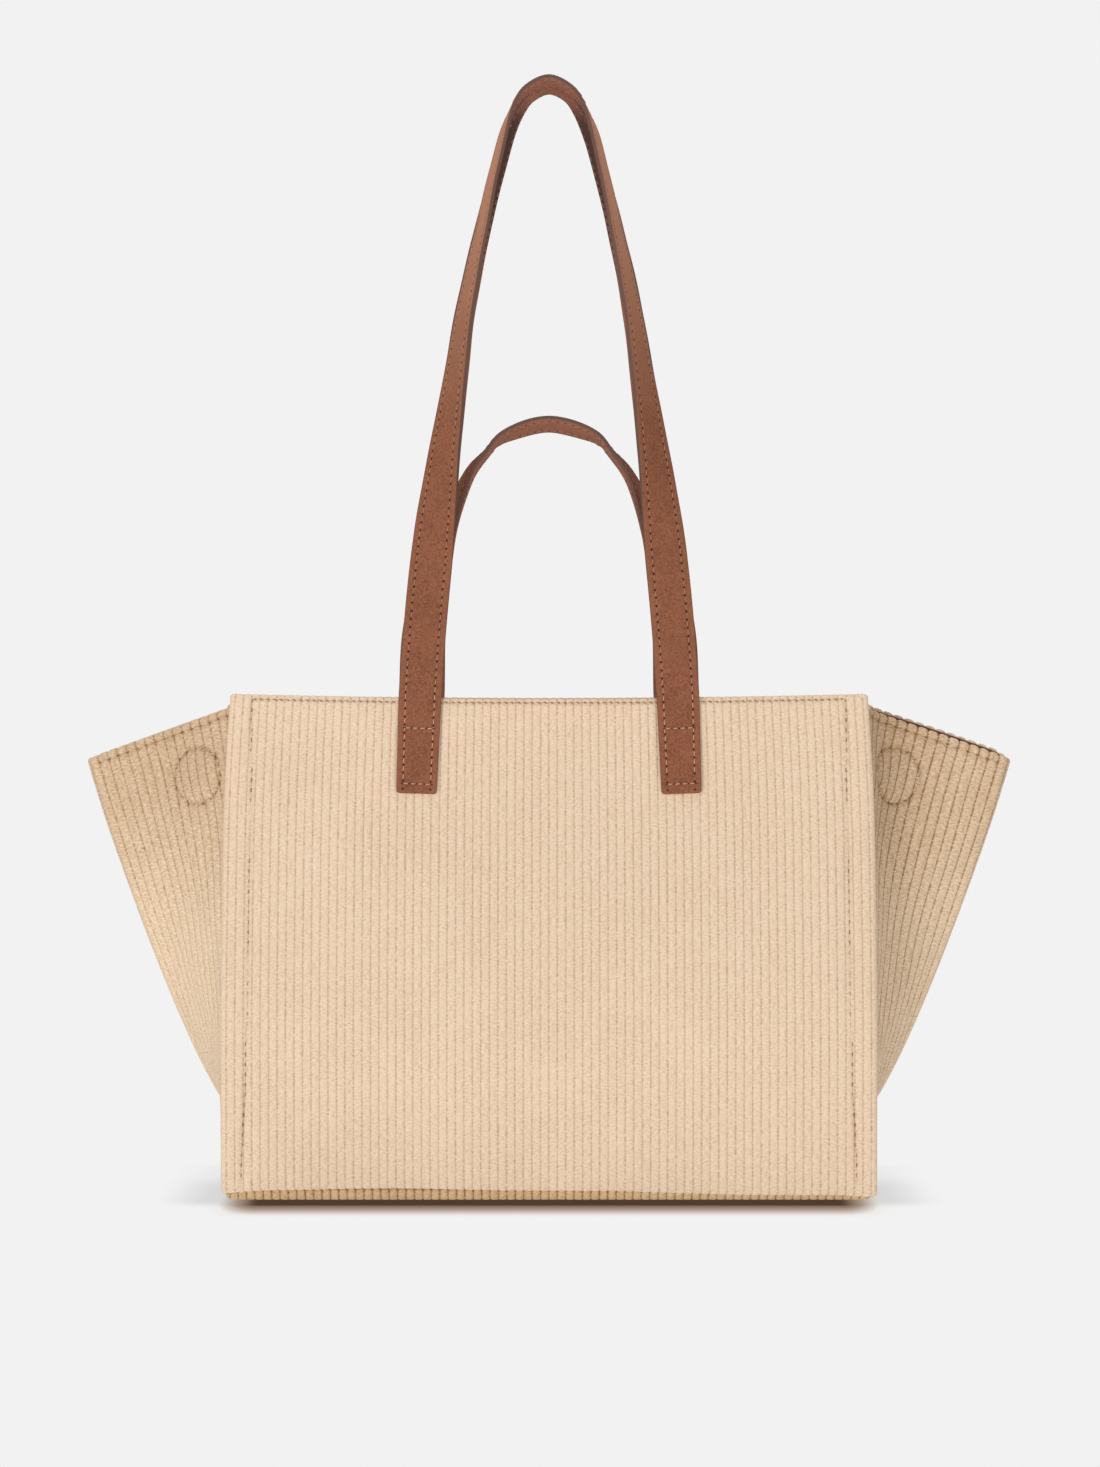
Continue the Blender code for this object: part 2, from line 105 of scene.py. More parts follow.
def meshFromFaces(name, points, quads, others=(), fields=None):
    mesh = bpy.data.meshes.new(name)
    mesh.vertices.add(len(points))
    mesh.vertices.foreach_set("co", np.asarray(points, np.float32).ravel())
    corners = np.concatenate([np.asarray(quads).ravel()] + [np.asarray(f).ravel() for f in others])
    sizes = np.concatenate(
        [np.full(len(quads), 4)] + [np.full(len(f), np.shape(f)[1]) for f in others]).astype(int)
    mesh.loops.add(len(corners))
    mesh.loops.foreach_set("vertex_index", corners.astype(np.int32))
    mesh.polygons.add(len(sizes))
    mesh.polygons.foreach_set("loop_start", np.concatenate([[0], np.cumsum(sizes)[:-1]]).astype(np.int32))
    mesh.update(calc_edges=True)
    mesh.validate()
    for field, values in (fields or {}).items():
        layer = mesh.attributes.new(field, "FLOAT_VECTOR", "POINT")
        layer.data.foreach_set("vector", np.asarray(values, np.float32).ravel())
    mesh.shade_smooth()
    return mesh


def meshFromGrid(name, points, fields=None, ringed=False, capped=False):
    # rows run up and columns across; a ringed grid closes on itself across, and caps close its two ends
    rows, columns = points.shape[:2]
    index = np.arange(rows * columns).reshape(rows, columns)
    left = index if ringed else index[:, :-1]
    right = np.roll(index, -1, axis=1) if ringed else index[:, 1:]
    quads = np.stack([left[:-1], right[:-1], right[1:], left[1:]], axis=-1).reshape(-1, 4)
    caps = [index[:1, ::-1], index[-1:]] if capped else []
    return meshFromFaces(name, points.reshape(-1, 3), quads, caps, fields)


def addObject(name, data):
    thing = bpy.data.objects.new(name, data)
    bpy.context.scene.collection.objects.link(thing)
    return thing


def clothFields(wales, along, shown, seam, run, holes):
    return {"clothMap": stacked(wales, along, shown), "seamMap": stacked(seam, run, holes)}


def addPiece(mesh, material, body=None, nodes=(), wall=0.0, bend=None):
    # a finished piece, named like its mesh, that rides one body, or is left unattached with its place baked
    # in when it has a bend
    piece = addObject(mesh.name, mesh)
    mesh.materials.append(material)
    if wall:
        layer = piece.modifiers.new("clothThickness", "SOLIDIFY")
        layer.thickness = wall
        layer.offset = -1
    if bend:
        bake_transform(piece)
    else:
        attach(piece, body)
    if nodes:
        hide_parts(*nodes)


# Materials

def linear(colour):
    # the usual screen curve undone, so a colour can be written as it looks
    parts = [c / 255 for c in colour]
    return tuple(p / 12.92 if p <= 0.04045 else ((p + 0.055) / 1.055) ** 2.4 for p in parts) + (1.0,)


class Finish:
    # a material with its nodes put down one after another; here is the place on the object
    def __init__(self, name, roughness, **sockets):
        self.material = bpy.data.materials.new(name)
        self.material.use_nodes = True
        self.tree = self.material.node_tree
        self.shader = self.tree.nodes["Principled BSDF"]
        self.shader.inputs["Roughness"].default_value = roughness
        for socket, value in sockets.items():
            self.shader.inputs[socket.replace("_", " ")].default_value = value
        self.here = self.put("TexCoord", out=3)
        self.x, self.y, self.z = self.split(self.here)

    def put(self, kind, values=(), out=0, **settings):
        node = self.tree.nodes.new("ShaderNode" + kind)
        for key, value in settings.items():
            setattr(node, key, value)
        for socket, value in dict(values).items():
            if isinstance(value, bpy.types.NodeSocket):
                self.tree.links.new(value, node.inputs[socket])
            else:
                node.inputs[socket].default_value = value
        return node.outputs[out]

    def split(self, vector):
        return self.put("SeparateXYZ", {0: vector}).node.outputs

    def field(self, name):
        return self.split(self.put("Attribute", out=1, attribute_name=name))

    def sum(self, operation, first, second=0.0, third=0.0):
        return self.put("Math", {0: first, 1: second, 2: third}, operation=operation)

    def times(self, first, second):
        return self.sum("MULTIPLY", first, second)

    def less(self, first, second):
        return self.sum("SUBTRACT", first, second)

    def size(self, value):
        return self.sum("ABSOLUTE", value)

    def fromMiddle(self, count):
        # 0 halfway between two whole counts, 1 on each of them
        return self.size(self.sum("MULTIPLY_ADD", self.sum("FRACT", count), 2.0, -1.0))

    def band(self, value, low, high, fromLow=0.0, toHigh=1.0):
        # a soft step of value from low to high
        return self.put("MapRange", {"Value": value, 1: low, 2: high, 3: fromLow, 4: toHigh},
                        interpolation_type="SMOOTHSTEP")

    def place(self, x, y):
        return self.put("CombineXYZ", {0: x, 1: y, 2: 0.0})

    def length(self, x, y):
        return self.put("VectorMath", {0: self.place(x, y)}, out=1, operation="LENGTH")

    def noise(self, vector, scale, detail=2.0):
        return self.put("TexNoise", {"Vector": vector, "Scale": scale, "Detail": detail})

    def layers(self, middle, noises, weights):
        # middle + the sum of weight * (noise - 1/2)
        tone = middle - sum(weights) / 2
        for noise, weight in zip(noises, weights):
            tone = self.sum("MULTIPLY_ADD", noise, weight, tone)
        return tone

    def tint(self, share, first, last):
        # from the first colour to the last by the share
        first, last = (linear(c) if isinstance(c, tuple) else c for c in (first, last))
        return self.put("Mix", {0: share, 6: first, 7: last}, out=2, data_type="RGBA", clamp_factor=True)

    def wire(self, value, socket):
        self.tree.links.new(value, self.shader.inputs[socket])

    def bump(self, height, distance, strength):
        self.wire(self.put("Bump", {"Height": height, "Distance": distance, "Strength": strength}), "Normal")


corduroyLook = {
    "walePitch": 0.0041, "dotPitch": 0.0019, "dotShift": 7.3, "tuftAcross": 0.0019, "tuftAlong": 0.00085,
    "tuftSlant": 0.5, "noiseScales": (1000.0, 160.0, 26.0), "middleTone": 0.87,
    "toneShares": (1.15, 0.45, 0.18, 0.20), "groove": (0.74, 0.97), "pits": (0.30, 0.58, 0.40, 1.0),
    "panelEdge": (0.146, 0.150), "innerFade": (0.160, 0.208), "topFade": (0.11, 0.22),
    "hole": (0.26, 0.52, 1.0, 0.0), "holeLine": (0.45, 0.85), "holeShare": 0.7, "holeShadeColour": (112, 78, 50),
    "bumpHeight": 0.00032,
}
corduroys = {
    "panelCorduroy": {"light": (231, 206, 179), "dark": (178, 144, 110), "grooveShade": 0.44,
                      "seamShade": 0.15},
    # painted shade: the base cloth is a darker, yellower copy of the panel cloth for the band under the bag
    "baseCorduroy": {"light": (212, 180, 138), "dark": (128, 94, 56), "grooveShade": 0.60, "seamShade": 0.10},
    # wing tones: partly the pile, partly painted light and shade; topShade, leftShare, innerShade paint light
    # and shade
    "wingCorduroy": {"light": (236, 210, 178), "dark": (152, 114, 76), "grooveShade": 0.58, "seamShade": 0.20,
                     "topShade": 0.31, "leftShare": 0.62, "innerShade": 0.20},
}


def makeCorduroy(name, light, dark, grooveShade, seamShade, topShade=0.0, leftShare=1.0, innerShade=0.0):
    # clothMap holds the wale count across, the metres along and how far the wales show;
    # seamMap holds the nearness of a seam, the count along its stitches and where these have holes
    look = corduroyLook
    f = Finish(name, 0.94, Sheen_Weight=0.15, Sheen_Roughness=0.5, Specular_IOR_Level=0.15)
    wales, along, shown = f.field("clothMap")
    seam, stitch, holeLine = f.field("seamMap")
    away = f.fromMiddle(wales)
    # tufts lie in chevrons over each wale, and the groove between two wales is a broken line of small pits
    bent = f.sum("MULTIPLY_ADD", away, look["tuftSlant"] * look["walePitch"] / 2, along)
    across = f.times(wales, look["walePitch"] / look["tuftAcross"])
    tuft = f.noise(f.place(across, f.times(bent, 1 / look["tuftAlong"])), 1.0, 1.0)
    groove = f.times(f.sum("ROUND", wales), look["dotShift"])
    pits = f.noise(f.place(groove, f.times(along, 2 / look["dotPitch"])), 1.0, 0.0)
    line = f.times(f.times(f.band(away, *look["groove"]), shown), f.band(pits, *look["pits"]))
    fuzz, rub, cloud = (f.noise(f.here, scale) for scale in look["noiseScales"])
    tone = f.layers(look["middleTone"], (tuft, fuzz, rub, cloud), look["toneShares"])
    # painted light and shade: fainter grooves on the lit left wing, darker right wing by the panel, darker
    # tops
    lineShade = f.band(f.x, *look["panelEdge"], grooveShade * leftShare, grooveShade)
    shade = f.times(f.band(f.x, *look["panelEdge"]), f.band(f.x, *look["innerFade"], innerShade, 0.0))
    top = f.band(f.z, *look["topFade"], 0.0, topShade)
    for darker in (f.times(line, lineShade), shade, top, f.times(seam, seamShade)):
        tone = f.less(tone, darker)
    # painted shade: a dark spot where each stitch goes into the cloth
    hole = f.times(f.band(f.fromMiddle(stitch), *look["hole"]), f.band(holeLine, *look["holeLine"]))
    cloth = f.tint(tone, dark, light)
    f.wire(f.tint(f.times(hole, look["holeShare"]), cloth, look["holeShadeColour"]), "Base Color")
    raised = f.sum("MULTIPLY_ADD", fuzz, 0.8, tuft)
    sunk = f.sum("MULTIPLY_ADD", hole, 1.2, f.times(line, 0.5))
    f.bump(f.less(raised, sunk), look["bumpHeight"], 0.9)
    return f.material


leatherLook = {
    # painted light and shade: skyLight on the upper outer face, lighter back tones for light from below,
    # innerShade under the arch
    "suedeLight": (156, 100, 73), "suedeDark": (98, 58, 42), "backLight": (188, 126, 100),
    "backDark": (124, 78, 62), "marginLight": (150, 98, 74), "edgePaint": (104, 78, 68),
    "skyLight": (206, 150, 122), "innerShade": (70, 46, 42), "punched": (66, 30, 20), "middleTone": 0.56,
    "toneShares": (0.40, 1.20, 0.90), "skyHeights": (0.36, 0.525), "skyShare": 0.62,
    "shadeStart": (0.43, 0.51), "shadeEnd": (0.538, 0.553), "shadeShare": 0.85, "faceStep": 0.0002,
    "margin": (0.0075, 0.0091), "marginShare": 0.2, "edge": (0.01042, 0.01060), "edgeShine": (0.84, 0.5),
    "stitchLine": 0.0073, "stitchPitch": 0.00405, "holeSizes": (0.000294, 0.000672), "holeDepth": 3.0,
    "noiseScales": (70.0, 1300.0, 700.0), "bumpHeight": 0.00014,
}


def makeLeather():
    # strapMap holds the place across, the metres along and the side, which is above zero on the outer face
    look = leatherLook
    f = Finish("suedeLeather", 0.85, Specular_IOR_Level=0.08)
    across, along, side = f.field("strapMap")
    reach = f.size(across)
    cloud, grain, nap = map(f.noise, [f.here] * 3, look["noiseScales"], (3.0, 2.0, 2.0))
    tone = f.layers(look["middleTone"], (cloud, grain, nap), look["toneShares"])
    # painted light: the outer face is drawn paler as it turns up to the light, and painted shade darkens the
    # back below the arch
    sky = f.times(f.band(f.z, *look["skyHeights"]), look["skyShare"])
    face = f.tint(sky, f.tint(tone, look["suedeDark"], look["suedeLight"]), look["skyLight"])
    shade = f.times(f.band(f.z, *look["shadeStart"]), f.band(f.z, *look["shadeEnd"], 1.0, 0.0))
    # painted light: the back is a lighter copy of the suede, standing for the light it gets from below
    back = f.tint(tone, look["backDark"], look["backLight"])
    back = f.tint(f.times(shade, look["shadeShare"]), back, look["innerShade"])
    colour = f.tint(f.band(side, -look["faceStep"], look["faceStep"]), back, face)
    colour = f.tint(f.band(reach, *look["margin"], 0.0, look["marginShare"]), colour, look["marginLight"])
    edge = f.band(reach, *look["edge"])
    colour = f.tint(edge, colour, look["edgePaint"])
    # painted shade: a dark spot for the punched hole at each stitch
    pitch = look["stitchPitch"]
    step = f.times(f.less(f.sum("FRACT", f.sum("DIVIDE", along, pitch)), 0.5), pitch)
    hole = f.band(f.length(f.less(reach, look["stitchLine"]), step), *look["holeSizes"], 1.0, 0.0)
    f.wire(f.tint(hole, colour, look["punched"]), "Base Color")
    f.wire(f.band(edge, 0.0, 1.0, *look["edgeShine"]), "Roughness")
    height = f.sum("MULTIPLY_ADD", grain, 0.8, f.times(nap, 0.5))
    f.bump(f.less(height, f.times(hole, look["holeDepth"])), look["bumpHeight"], 0.8)
    return f.material


liningLook = {"light": (122, 74, 60), "dark": (74, 44, 36), "threadPitch": 0.0006, "weave": 0.18,
              "slubScale": 160.0, "bumpHeight": 0.0001}


def makeWoven():
    # two crossing sets of threads on Object coordinates, with slubs
    look = liningLook
    f = Finish("brownLining", 0.7, Sheen_Weight=0.08, Specular_IOR_Level=0.25)
    turns = 2 * math.pi / look["threadPitch"]
    warp = f.sum("SINE", f.times(f.sum("ADD", f.x, f.y), turns))
    weft = f.sum("SINE", f.times(f.sum("MULTIPLY_ADD", f.y, 0.6, f.z), turns))
    weave = f.times(warp, weft)
    slub = f.noise(f.here, look["slubScale"], 3.0)
    tone = f.sum("ADD", f.sum("MULTIPLY_ADD", weave, look["weave"], 0.1), slub)
    f.wire(f.tint(tone, look["dark"], look["light"]), "Base Color")
    f.bump(f.sum("MULTIPLY_ADD", weave, 0.5, slub), look["bumpHeight"], 0.6)
    return f.material


def makeFelt(name, light, dark, scale, roughness, metallic=0.0):
    # fibres, specks or brushed lines from two noises of one scale
    f = Finish(name, roughness, Metallic=metallic)
    cloud, fine = f.noise(f.here, scale, 4.0), f.noise(f.here, scale * 9)
    f.wire(f.tint(f.sum("MULTIPLY_ADD", fine, 0.5, f.less(cloud, 0.2)), dark, light), "Base Color")
    f.bump(fine, 0.0002, 0.5)
    return f.material


threadLook = {
    "twistScale": 1400.0, "rubbedHeights": (0.236, 0.272), "rubbed": (138, 88, 66), "bumpHeight": 0.00006,
}


def makeThread(name, light, dark, worn=0.0):
    # a two-ply twist seen as slanted bands, rubbed down to the leather's tone above the rim
    look = threadLook
    f = Finish(name, 0.62, Sheen_Weight=0.1)
    ply = f.put("TexWave", {"Vector": f.here, "Scale": look["twistScale"], "Distortion": 1.5},
                bands_direction="DIAGONAL")
    rubbed = f.times(f.band(f.z, *look["rubbedHeights"]), worn)
    f.wire(f.tint(rubbed, f.tint(ply, dark, light), look["rubbed"]), "Base Color")
    f.bump(ply, look["bumpHeight"], 0.6)
    return f.material


panelCorduroy, baseCorduroy, wingCorduroy = (makeCorduroy(name, **look) for name, look in corduroys.items())
suedeLeather = makeLeather()
brownLining = makeWoven()
clothThread = makeThread("clothThread", (216, 186, 150), (172, 138, 100))
strapThread = makeThread("strapThread", (222, 172, 140), (178, 124, 94), 0.62)
# painted shade: dark spindles stand for the punched holes in the strap ends
holeShadeThread = makeThread("holeShadeThread", (66, 34, 24), (40, 20, 14))
needledFelt = makeFelt("needledFelt", (226, 221, 210), (176, 170, 158), 240.0, 0.95)
greyBoard = makeFelt("greyBoard", (118, 112, 106), (78, 74, 70), 130.0, 0.75)
platedSteel = makeFelt("platedSteel", (205, 205, 208), (150, 150, 154), 320.0, 0.32, 1.0)
print("materials made")


# The bag's own form

bag = {
    "baseWidth": 0.325, "rimWidth": 0.319, "baseDepth": 0.140, "mouthDepth": 0.076, "rimHeight": 0.250,
    "wallBow": 0.0025, "leanStart": 0.28, "taperStart": 0.68, "wallThickness": 0.0052, "footHeight": 0.0068,
    "walePhases": (0.0, 0.08, 0.25, 0.5, 0.75, 0.92), "waleHeight": 0.00036,
    "rimSag": 0.0021, "backSag": 0.0016, "sagDepth": 0.07,
}
rim, foot = bag["rimHeight"], bag["footHeight"]


def halfWidth(z):
    # half the width, drawn in by the square of the share above the shoulder
    taper = np.clip((z / rim - bag["taperStart"]) / (1 - bag["taperStart"]), 0, None) ** 2
    return mixValues(bag["baseWidth"], bag["rimWidth"], taper) / 2


def halfDepth(z):
    # half the depth, upright near the base and leaning in to the mouth
    lean = smoothStep((z / rim - bag["leanStart"]) / (1 - bag["leanStart"]))
    return mixValues(bag["baseDepth"], bag["mouthDepth"], lean) / 2


def wallDepth(x, z):
    # how far the outer face of a wall stands from the middle of the bag, with its bow
    bow = bag["wallBow"] * np.clip(1 - (x / halfWidth(z)) ** 2, 0, None)
    return halfDepth(z) + bow * np.sin(np.pi * np.clip(z / rim, 0, 1))


def rimSag(x, z, wall):
    # the rim hangs between its corners by a parabola that fades out down the wall; the back one is slacker
    share = np.clip(1 - (x / halfWidth(z)) ** 2, 0, None)
    fall = bag["rimSag"] * share + bag["backSag"] * (wall > 0)
    return fall * smoothStep((z - (rim - bag["sagDepth"])) / bag["sagDepth"])


def waleColumns(count):
    # the columns of a ribbed cloth, close together at each groove
    return np.append((np.arange(count)[:, None] + np.array(bag["walePhases"])).ravel(), count)


def waleRidge(wales):
    # one less the 3.2th power of the distance from the top of the wale
    return 1 - np.abs(2 * (wales - np.floor(wales)) - 1) ** 3.2


def rolledAcross(count, flat, roll):
    # the wale counts across a cloth whose edges are rolled over half circles, and for each of them its
    # share of the flat, its turn round the edge and how far that carries it sideways
    wales = waleColumns(count)
    arc = (2 * wales / count - 1) * (flat + math.pi * roll)
    turn = np.clip((np.abs(arc) - flat) / roll, 0, math.pi)
    return wales, np.clip(arc / flat, -1, 1), turn, np.sign(arc) * roll * np.sin(turn)


straps = {
    "width": 0.0214, "footWidth": 0.020, "thickness": 0.0022, "gap": 0.0003, "spacing": 0.1288,
    "endLength": 0.0492, "splay": 0.035, "legTurn": math.radians(80), "backLegTurn": math.radians(77),
    "pressMargin": 0.0012, "pressFade": 0.0022, "pressFoot": 0.0016, "caughtDepth": 0.0030,
    "footRows": (0.0, 0.0003, 0.0008, 0.0015), "turnSmoothing": 9, "keptRows": 30,
    "bendHeights": (0.0002, 0.0140),
    "sectionAcross": (0, 0.0026, 0.0050, 0.0065, 0.0070, 0.0073, 0.0076, 0.0081, 0.0092, 0.0100, 0.01042),
    "crown": 0.00010, "crownReach": 0.0072, "groove": 0.00016, "grooveWidth": 0.0003, "easing": 0.00012,
    "easingStart": 0.0092, "easingReach": 0.0015, "edgeAcross": (0.00008, 0, 0, 0.00007),
    "edgeHeights": (0.00032, 0.0006), "edgeMiddle": 0.0001, "footCorner": 0.0016, "footThin": 0.72,
    "thinReach": 0.0007, "wave": 0.00025, "waveSpan": 0.012, "endRows": 26, "curveSteps": 24,
}


def underStrap(x, z):
    # one where a sewn strap end presses on the cloth
    middle = straps["spacing"] / 2 + straps["splay"] * (rim - z)
    beside = straps["width"] / 2 + straps["pressMargin"] - np.abs(np.abs(x) - middle)
    above = z - (rim - straps["endLength"])
    return smoothStep(beside / straps["pressFade"]) * smoothStep(above / straps["pressFoot"] + 0.5)


# Front and back panels

panel = {
    "waleCount": 80, "edgeRoll": 0.0026, "footRoll": 0.0016, "cornerRadius": 0.0022, "cornerFade": 0.04,
    "cloth": 0.0011, "turnIn": 0.0034, "flangeHeights": (0.0, 0.010, 0.060, 0.195, 0.247),
    "flangeWidths": (0.0092, 0.0096, 0.0125, 0.0137, 0.0116),
    "footPlaces": (-0.163, -0.149, -0.125, -0.100, -0.065, -0.030, 0.042, 0.054, 0.078, 0.100, 0.149, 0.163),
    "footDips": (0.0040, 0.0018, 0.0017, 0.0009, 0.0008, 0.0018, 0.0022, 0.0029, 0.0035, 0.0041, 0.0042,
                 0.0052),
    "dipReach": 0.034, "footPush": 0.0009, "pushReach": 0.0025, "footCorner": 0.0018, "footCornerShare": 0.7,
    "plainTop": 0.011, "plainRows": 48,
    "upperRows": (0.0092, 0.0076, 0.0064, 0.0055, 0.0048, 0.0042, 0.0036, 0.0031), "grooveWidth": 0.00088,
    "grooveDepth": 0.0006, "grooveWander": 0.0004, "wanderSpan": 0.011,
    "grooveEnds": {"foot": 0.003, "top": 0.001, "across": 0.002}, "puff": 0.0006, "puffReach": 0.004,
    "faceTurns": (1.6, 1.4), "turnedSide": (2.2, 0.9), "turnedRim": (2.4, 0.7), "holeSharpness": (2.5, 1.4),
    "bulge": 0.0006, "bulgeSpan": 0.045, "bulgeStart": 0.02, "unevenness": 0.22, "unevenSpan": 0.012,
    "pressShare": 0.75, "sideStitchPitch": 0.0050, "sideStitch": 0.0030, "rimStitchPitch": 0.0033,
    "rimStitch": 0.0017, "rimStitchDrop": 0.0021, "rimStitchReach": 0.145, "rimSlant": 0.8, "thread": 0.00024,
    "threadLift": 0.00022, "footSteps": 5, "rimSteps": 11, "sideStitchCounts": (2, 49), "strapGapDrop": 0.004,
    "strapGapShare": 0.2, "nudge": 0.001,
}


def flangeWidth(z):
    # the stitched flange beside each edge, widest two thirds of the way up
    return np.interp(z, panel["flangeHeights"], panel["flangeWidths"])


def panelGrid(wall):
    # flat between its seams, with both sides and the rim rolled over a half circle and turned in
    roll, footRoll = panel["edgeRoll"], panel["footRoll"]
    wales, flatShare, sideTurn, sideways = rolledAcross(panel["waleCount"], bag["baseWidth"] / 2 - roll, roll)
    footTurn = np.linspace(math.pi / 2, 0, panel["footSteps"])[:-1]
    rimTurn = np.linspace(0, math.pi, panel["rimSteps"])[1:]
    turnIn = panel["turnIn"] * np.array([0.5, 1.0])
    plain = np.append(np.linspace(foot + footRoll, rim - panel["plainTop"], panel["plainRows"]),
                      rim - np.array(panel["upperRows"] + (roll,)))
    z = np.concatenate([foot + footRoll * (1 - np.sin(footTurn)), plain, rim - roll * (1 - np.sin(rimTurn)),
                        rim - roll - turnIn])
    rimTurns = np.concatenate([footTurn * 0, plain * 0, rimTurn, [math.pi, math.pi]])
    footTurns = np.concatenate([footTurn, plain * 0, rimTurn * 0, [0, 0]])
    along = np.concatenate([z[:len(footTurn) + len(plain)], rim - roll + roll * rimTurn,
                            rim + roll * math.pi + turnIn])

    z, rimTurns, footTurns = (a[:, None] for a in (z, rimTurns, footTurns))
    low = np.clip(1 - (z - foot) / panel["footCorner"], 0, 0.95)
    drawnIn = panel["footCorner"] * panel["footCornerShare"]
    half = halfWidth(z) - drawnIn * (1 - np.sqrt(1 - low ** 2))
    x = flatShare * (half - roll) + sideways
    corner = panel["cornerRadius"]
    out = np.clip((np.abs(x) - (half - corner)) / corner, 0, 0.97)
    z = z - corner * (1 - np.sqrt(1 - out ** 2)) * smoothStep((z - rim) / panel["cornerFade"] + 1)
    sideDepth = 2 * roll - roll * (1 - np.cos(sideTurn))
    rimDepth = 2 * roll - roll * (1 - np.cos(rimTurns))
    depth = 2 * roll - sideDepth * rimDepth / (2 * roll) + footRoll * (1 - np.cos(footTurns))
    dip = gentle(-wall * x, panel["footPlaces"], panel["footDips"])
    push = panel["footPush"] * (1 - smoothStep((z - foot) / panel["pushReach"]))
    y = wall * (wallDepth(x, z) - depth + push)
    z = z - rimSag(x, z, wall) - dip * (1 - smoothStep((z - foot) / panel["dipReach"]))
    return stacked(-wall * x, y, z), wales, along[:, None], sideTurn, rimTurns


def panelSeams(x, z, half):
    # the two lines of stitches beside the flanges and the one under the rim between them
    width, ends = panel["grooveWidth"], panel["grooveEnds"]
    stitchLine = rim - panel["rimStitchDrop"]
    inner = half - flangeWidth(z) + panel["grooveWander"] * gentleWaves(x * 0, z, panel["wanderSpan"], 1.0)
    side = bell(np.abs(x) - inner, width) * smoothStep((stitchLine - z) / ends["top"] + 0.8)
    side = side * smoothStep((z - foot) / ends["foot"] + 1)
    return side, bell(z - stitchLine, width) * smoothStep((inner - np.abs(x)) / ends["across"] + 0.5)


def makePanel(wall, name, nodes):
    # the ridges of the wales on a padded face, sunk along the seams and pressed flat under the straps
    points, wales, along, sideTurn, rimTurn = panelGrid(wall)
    x = points[..., 0]
    z = points[..., 2] + rimSag(x, points[..., 2], wall)
    half, stitchLine = halfWidth(z), rim - panel["rimStitchDrop"]
    turns = (sideTurn, rimTurn)
    facing = math.prod(smoothStep(end - turn) for end, turn in zip(panel["faceTurns"], turns))
    side, top = (line * facing for line in panelSeams(x, z, half))
    seam = np.maximum(side, top)
    edges = (np.abs(np.abs(x) - half + flangeWidth(z)), np.abs(stitchLine - z), np.abs(half - np.abs(x)),
             z - foot)
    near = np.minimum.reduce(edges)
    swell = panel["puff"] * (1 - np.exp(-np.clip(near, 0, None) / panel["puffReach"])) * facing
    bulge = panel["bulge"] * gentleWaves(x, z, panel["bulgeSpan"], 1.0 + 0.7 * wall)
    swell = swell + bulge * smoothStep(near / panel["bulgeStart"])
    turned = math.prod(1 - smoothStep((turn - start) / span)
                       for turn, (start, span) in zip(turns, (panel["turnedSide"], panel["turnedRim"])))
    uneven = 1 + panel["unevenness"] * gentleWaves(x * 6, z, panel["unevenSpan"], 2.0)
    ridge = bag["waleHeight"] * waleRidge(wales) * turned * uneven * (1 - 0.5 * seam)
    press = underStrap(x, z) * facing
    rise = (ridge + swell) * (1 - panel["pressShare"] * press) - panel["grooveDepth"] * seam
    points = points + gridNormals(points) * rise[..., None]
    slanted = x + panel["rimSlant"] * (z - stitchLine)
    run = np.where(top > side, slanted / panel["rimStitchPitch"], z / panel["sideStitchPitch"])
    holes = np.maximum(*(line ** power for line, power in zip((side, top), panel["holeSharpness"])))
    fields = clothFields(wales, along, 1 + 0 * x, seam, run, holes)
    addPiece(meshFromGrid(name, points, fields), panelCorduroy, "shell", nodes, panel["cloth"])


wallNames = {-1: "front", 1: "back"}
sideNames = {-1: "left", 1: "right"}
for wall, wallName in wallNames.items():
    allowances = [f"{wallName}_{side}_seam_allowance" for side in ("left", "right")]
    makePanel(wall, wallName + "PanelCloth", [wallName + "_panel"] + allowances)
print("front and back panels made")


# Base tray

tray = {
    "roll": 0.00285, "clear": 0.0003, "cloth": 0.0010, "waleHeight": 0.00065, "beadPinch": 0.0006,
    "underShare": 0.35, "sideInset": 0.0022, "cornerTuck": 0.0024, "tuckReach": 0.010, "rowsAlong": 24,
    "turnSteps": 11, "beadTurn": 1.2, "ridgeEnd": 0.7, "seamTurn": 2.0,
}


def makeBase():
    # the cloth under the bag, whose wales end in a row of beads along the front and the back
    roll = tray["roll"]
    flat = bag["baseWidth"] / 2 - roll - tray["sideInset"]
    wales, flatShare, sideTurn, sideways = rolledAcross(panel["waleCount"], flat, roll)
    turn = np.linspace(0, math.pi, tray["turnSteps"])[1:]
    frontTurn = np.concatenate([turn[::-1], np.zeros(tray["rowsAlong"]), turn])[:, None]
    share = np.concatenate([turn * 0 + 1, np.linspace(1, -1, tray["rowsAlong"]), turn * 0 - 1])[:, None]
    x = flatShare * flat + sideways
    tuck = smoothStep((np.abs(x) - flat - roll) / tray["tuckReach"] + 1)
    flatDepth = bag["baseDepth"] / 2 - roll - tray["cornerTuck"] * tuck
    y = share * flatDepth + np.sign(share) * roll * np.sin(frontTurn)
    lift = 2 * roll - roll * (1 + np.cos(sideTurn)) * (1 + np.cos(frontTurn)) / 2
    points = stacked(x, y, lift + tray["clear"])
    bead = smoothStep(frontTurn / tray["beadTurn"])
    height = tray["waleHeight"] * mixValues(tray["underShare"], 1.0, bead) + tray["beadPinch"] * bead
    height = height * (1 - smoothStep(sideTurn - tray["ridgeEnd"]))
    rise = height * waleRidge(wales) - tray["beadPinch"] * bead
    points = points + gridNormals(points) * rise[..., None]
    along = y + roll * (frontTurn - np.sin(frontTurn)) * np.sign(y)
    fields = clothFields(wales, along, 1.0, smoothStep(frontTurn - tray["seamTurn"]), wales, 0.0)
    addPiece(meshFromGrid("baseCloth", points, fields), baseCorduroy, "shell", ["base_panel"],
             tray["cloth"])


makeBase()
print("base made")


# Wings

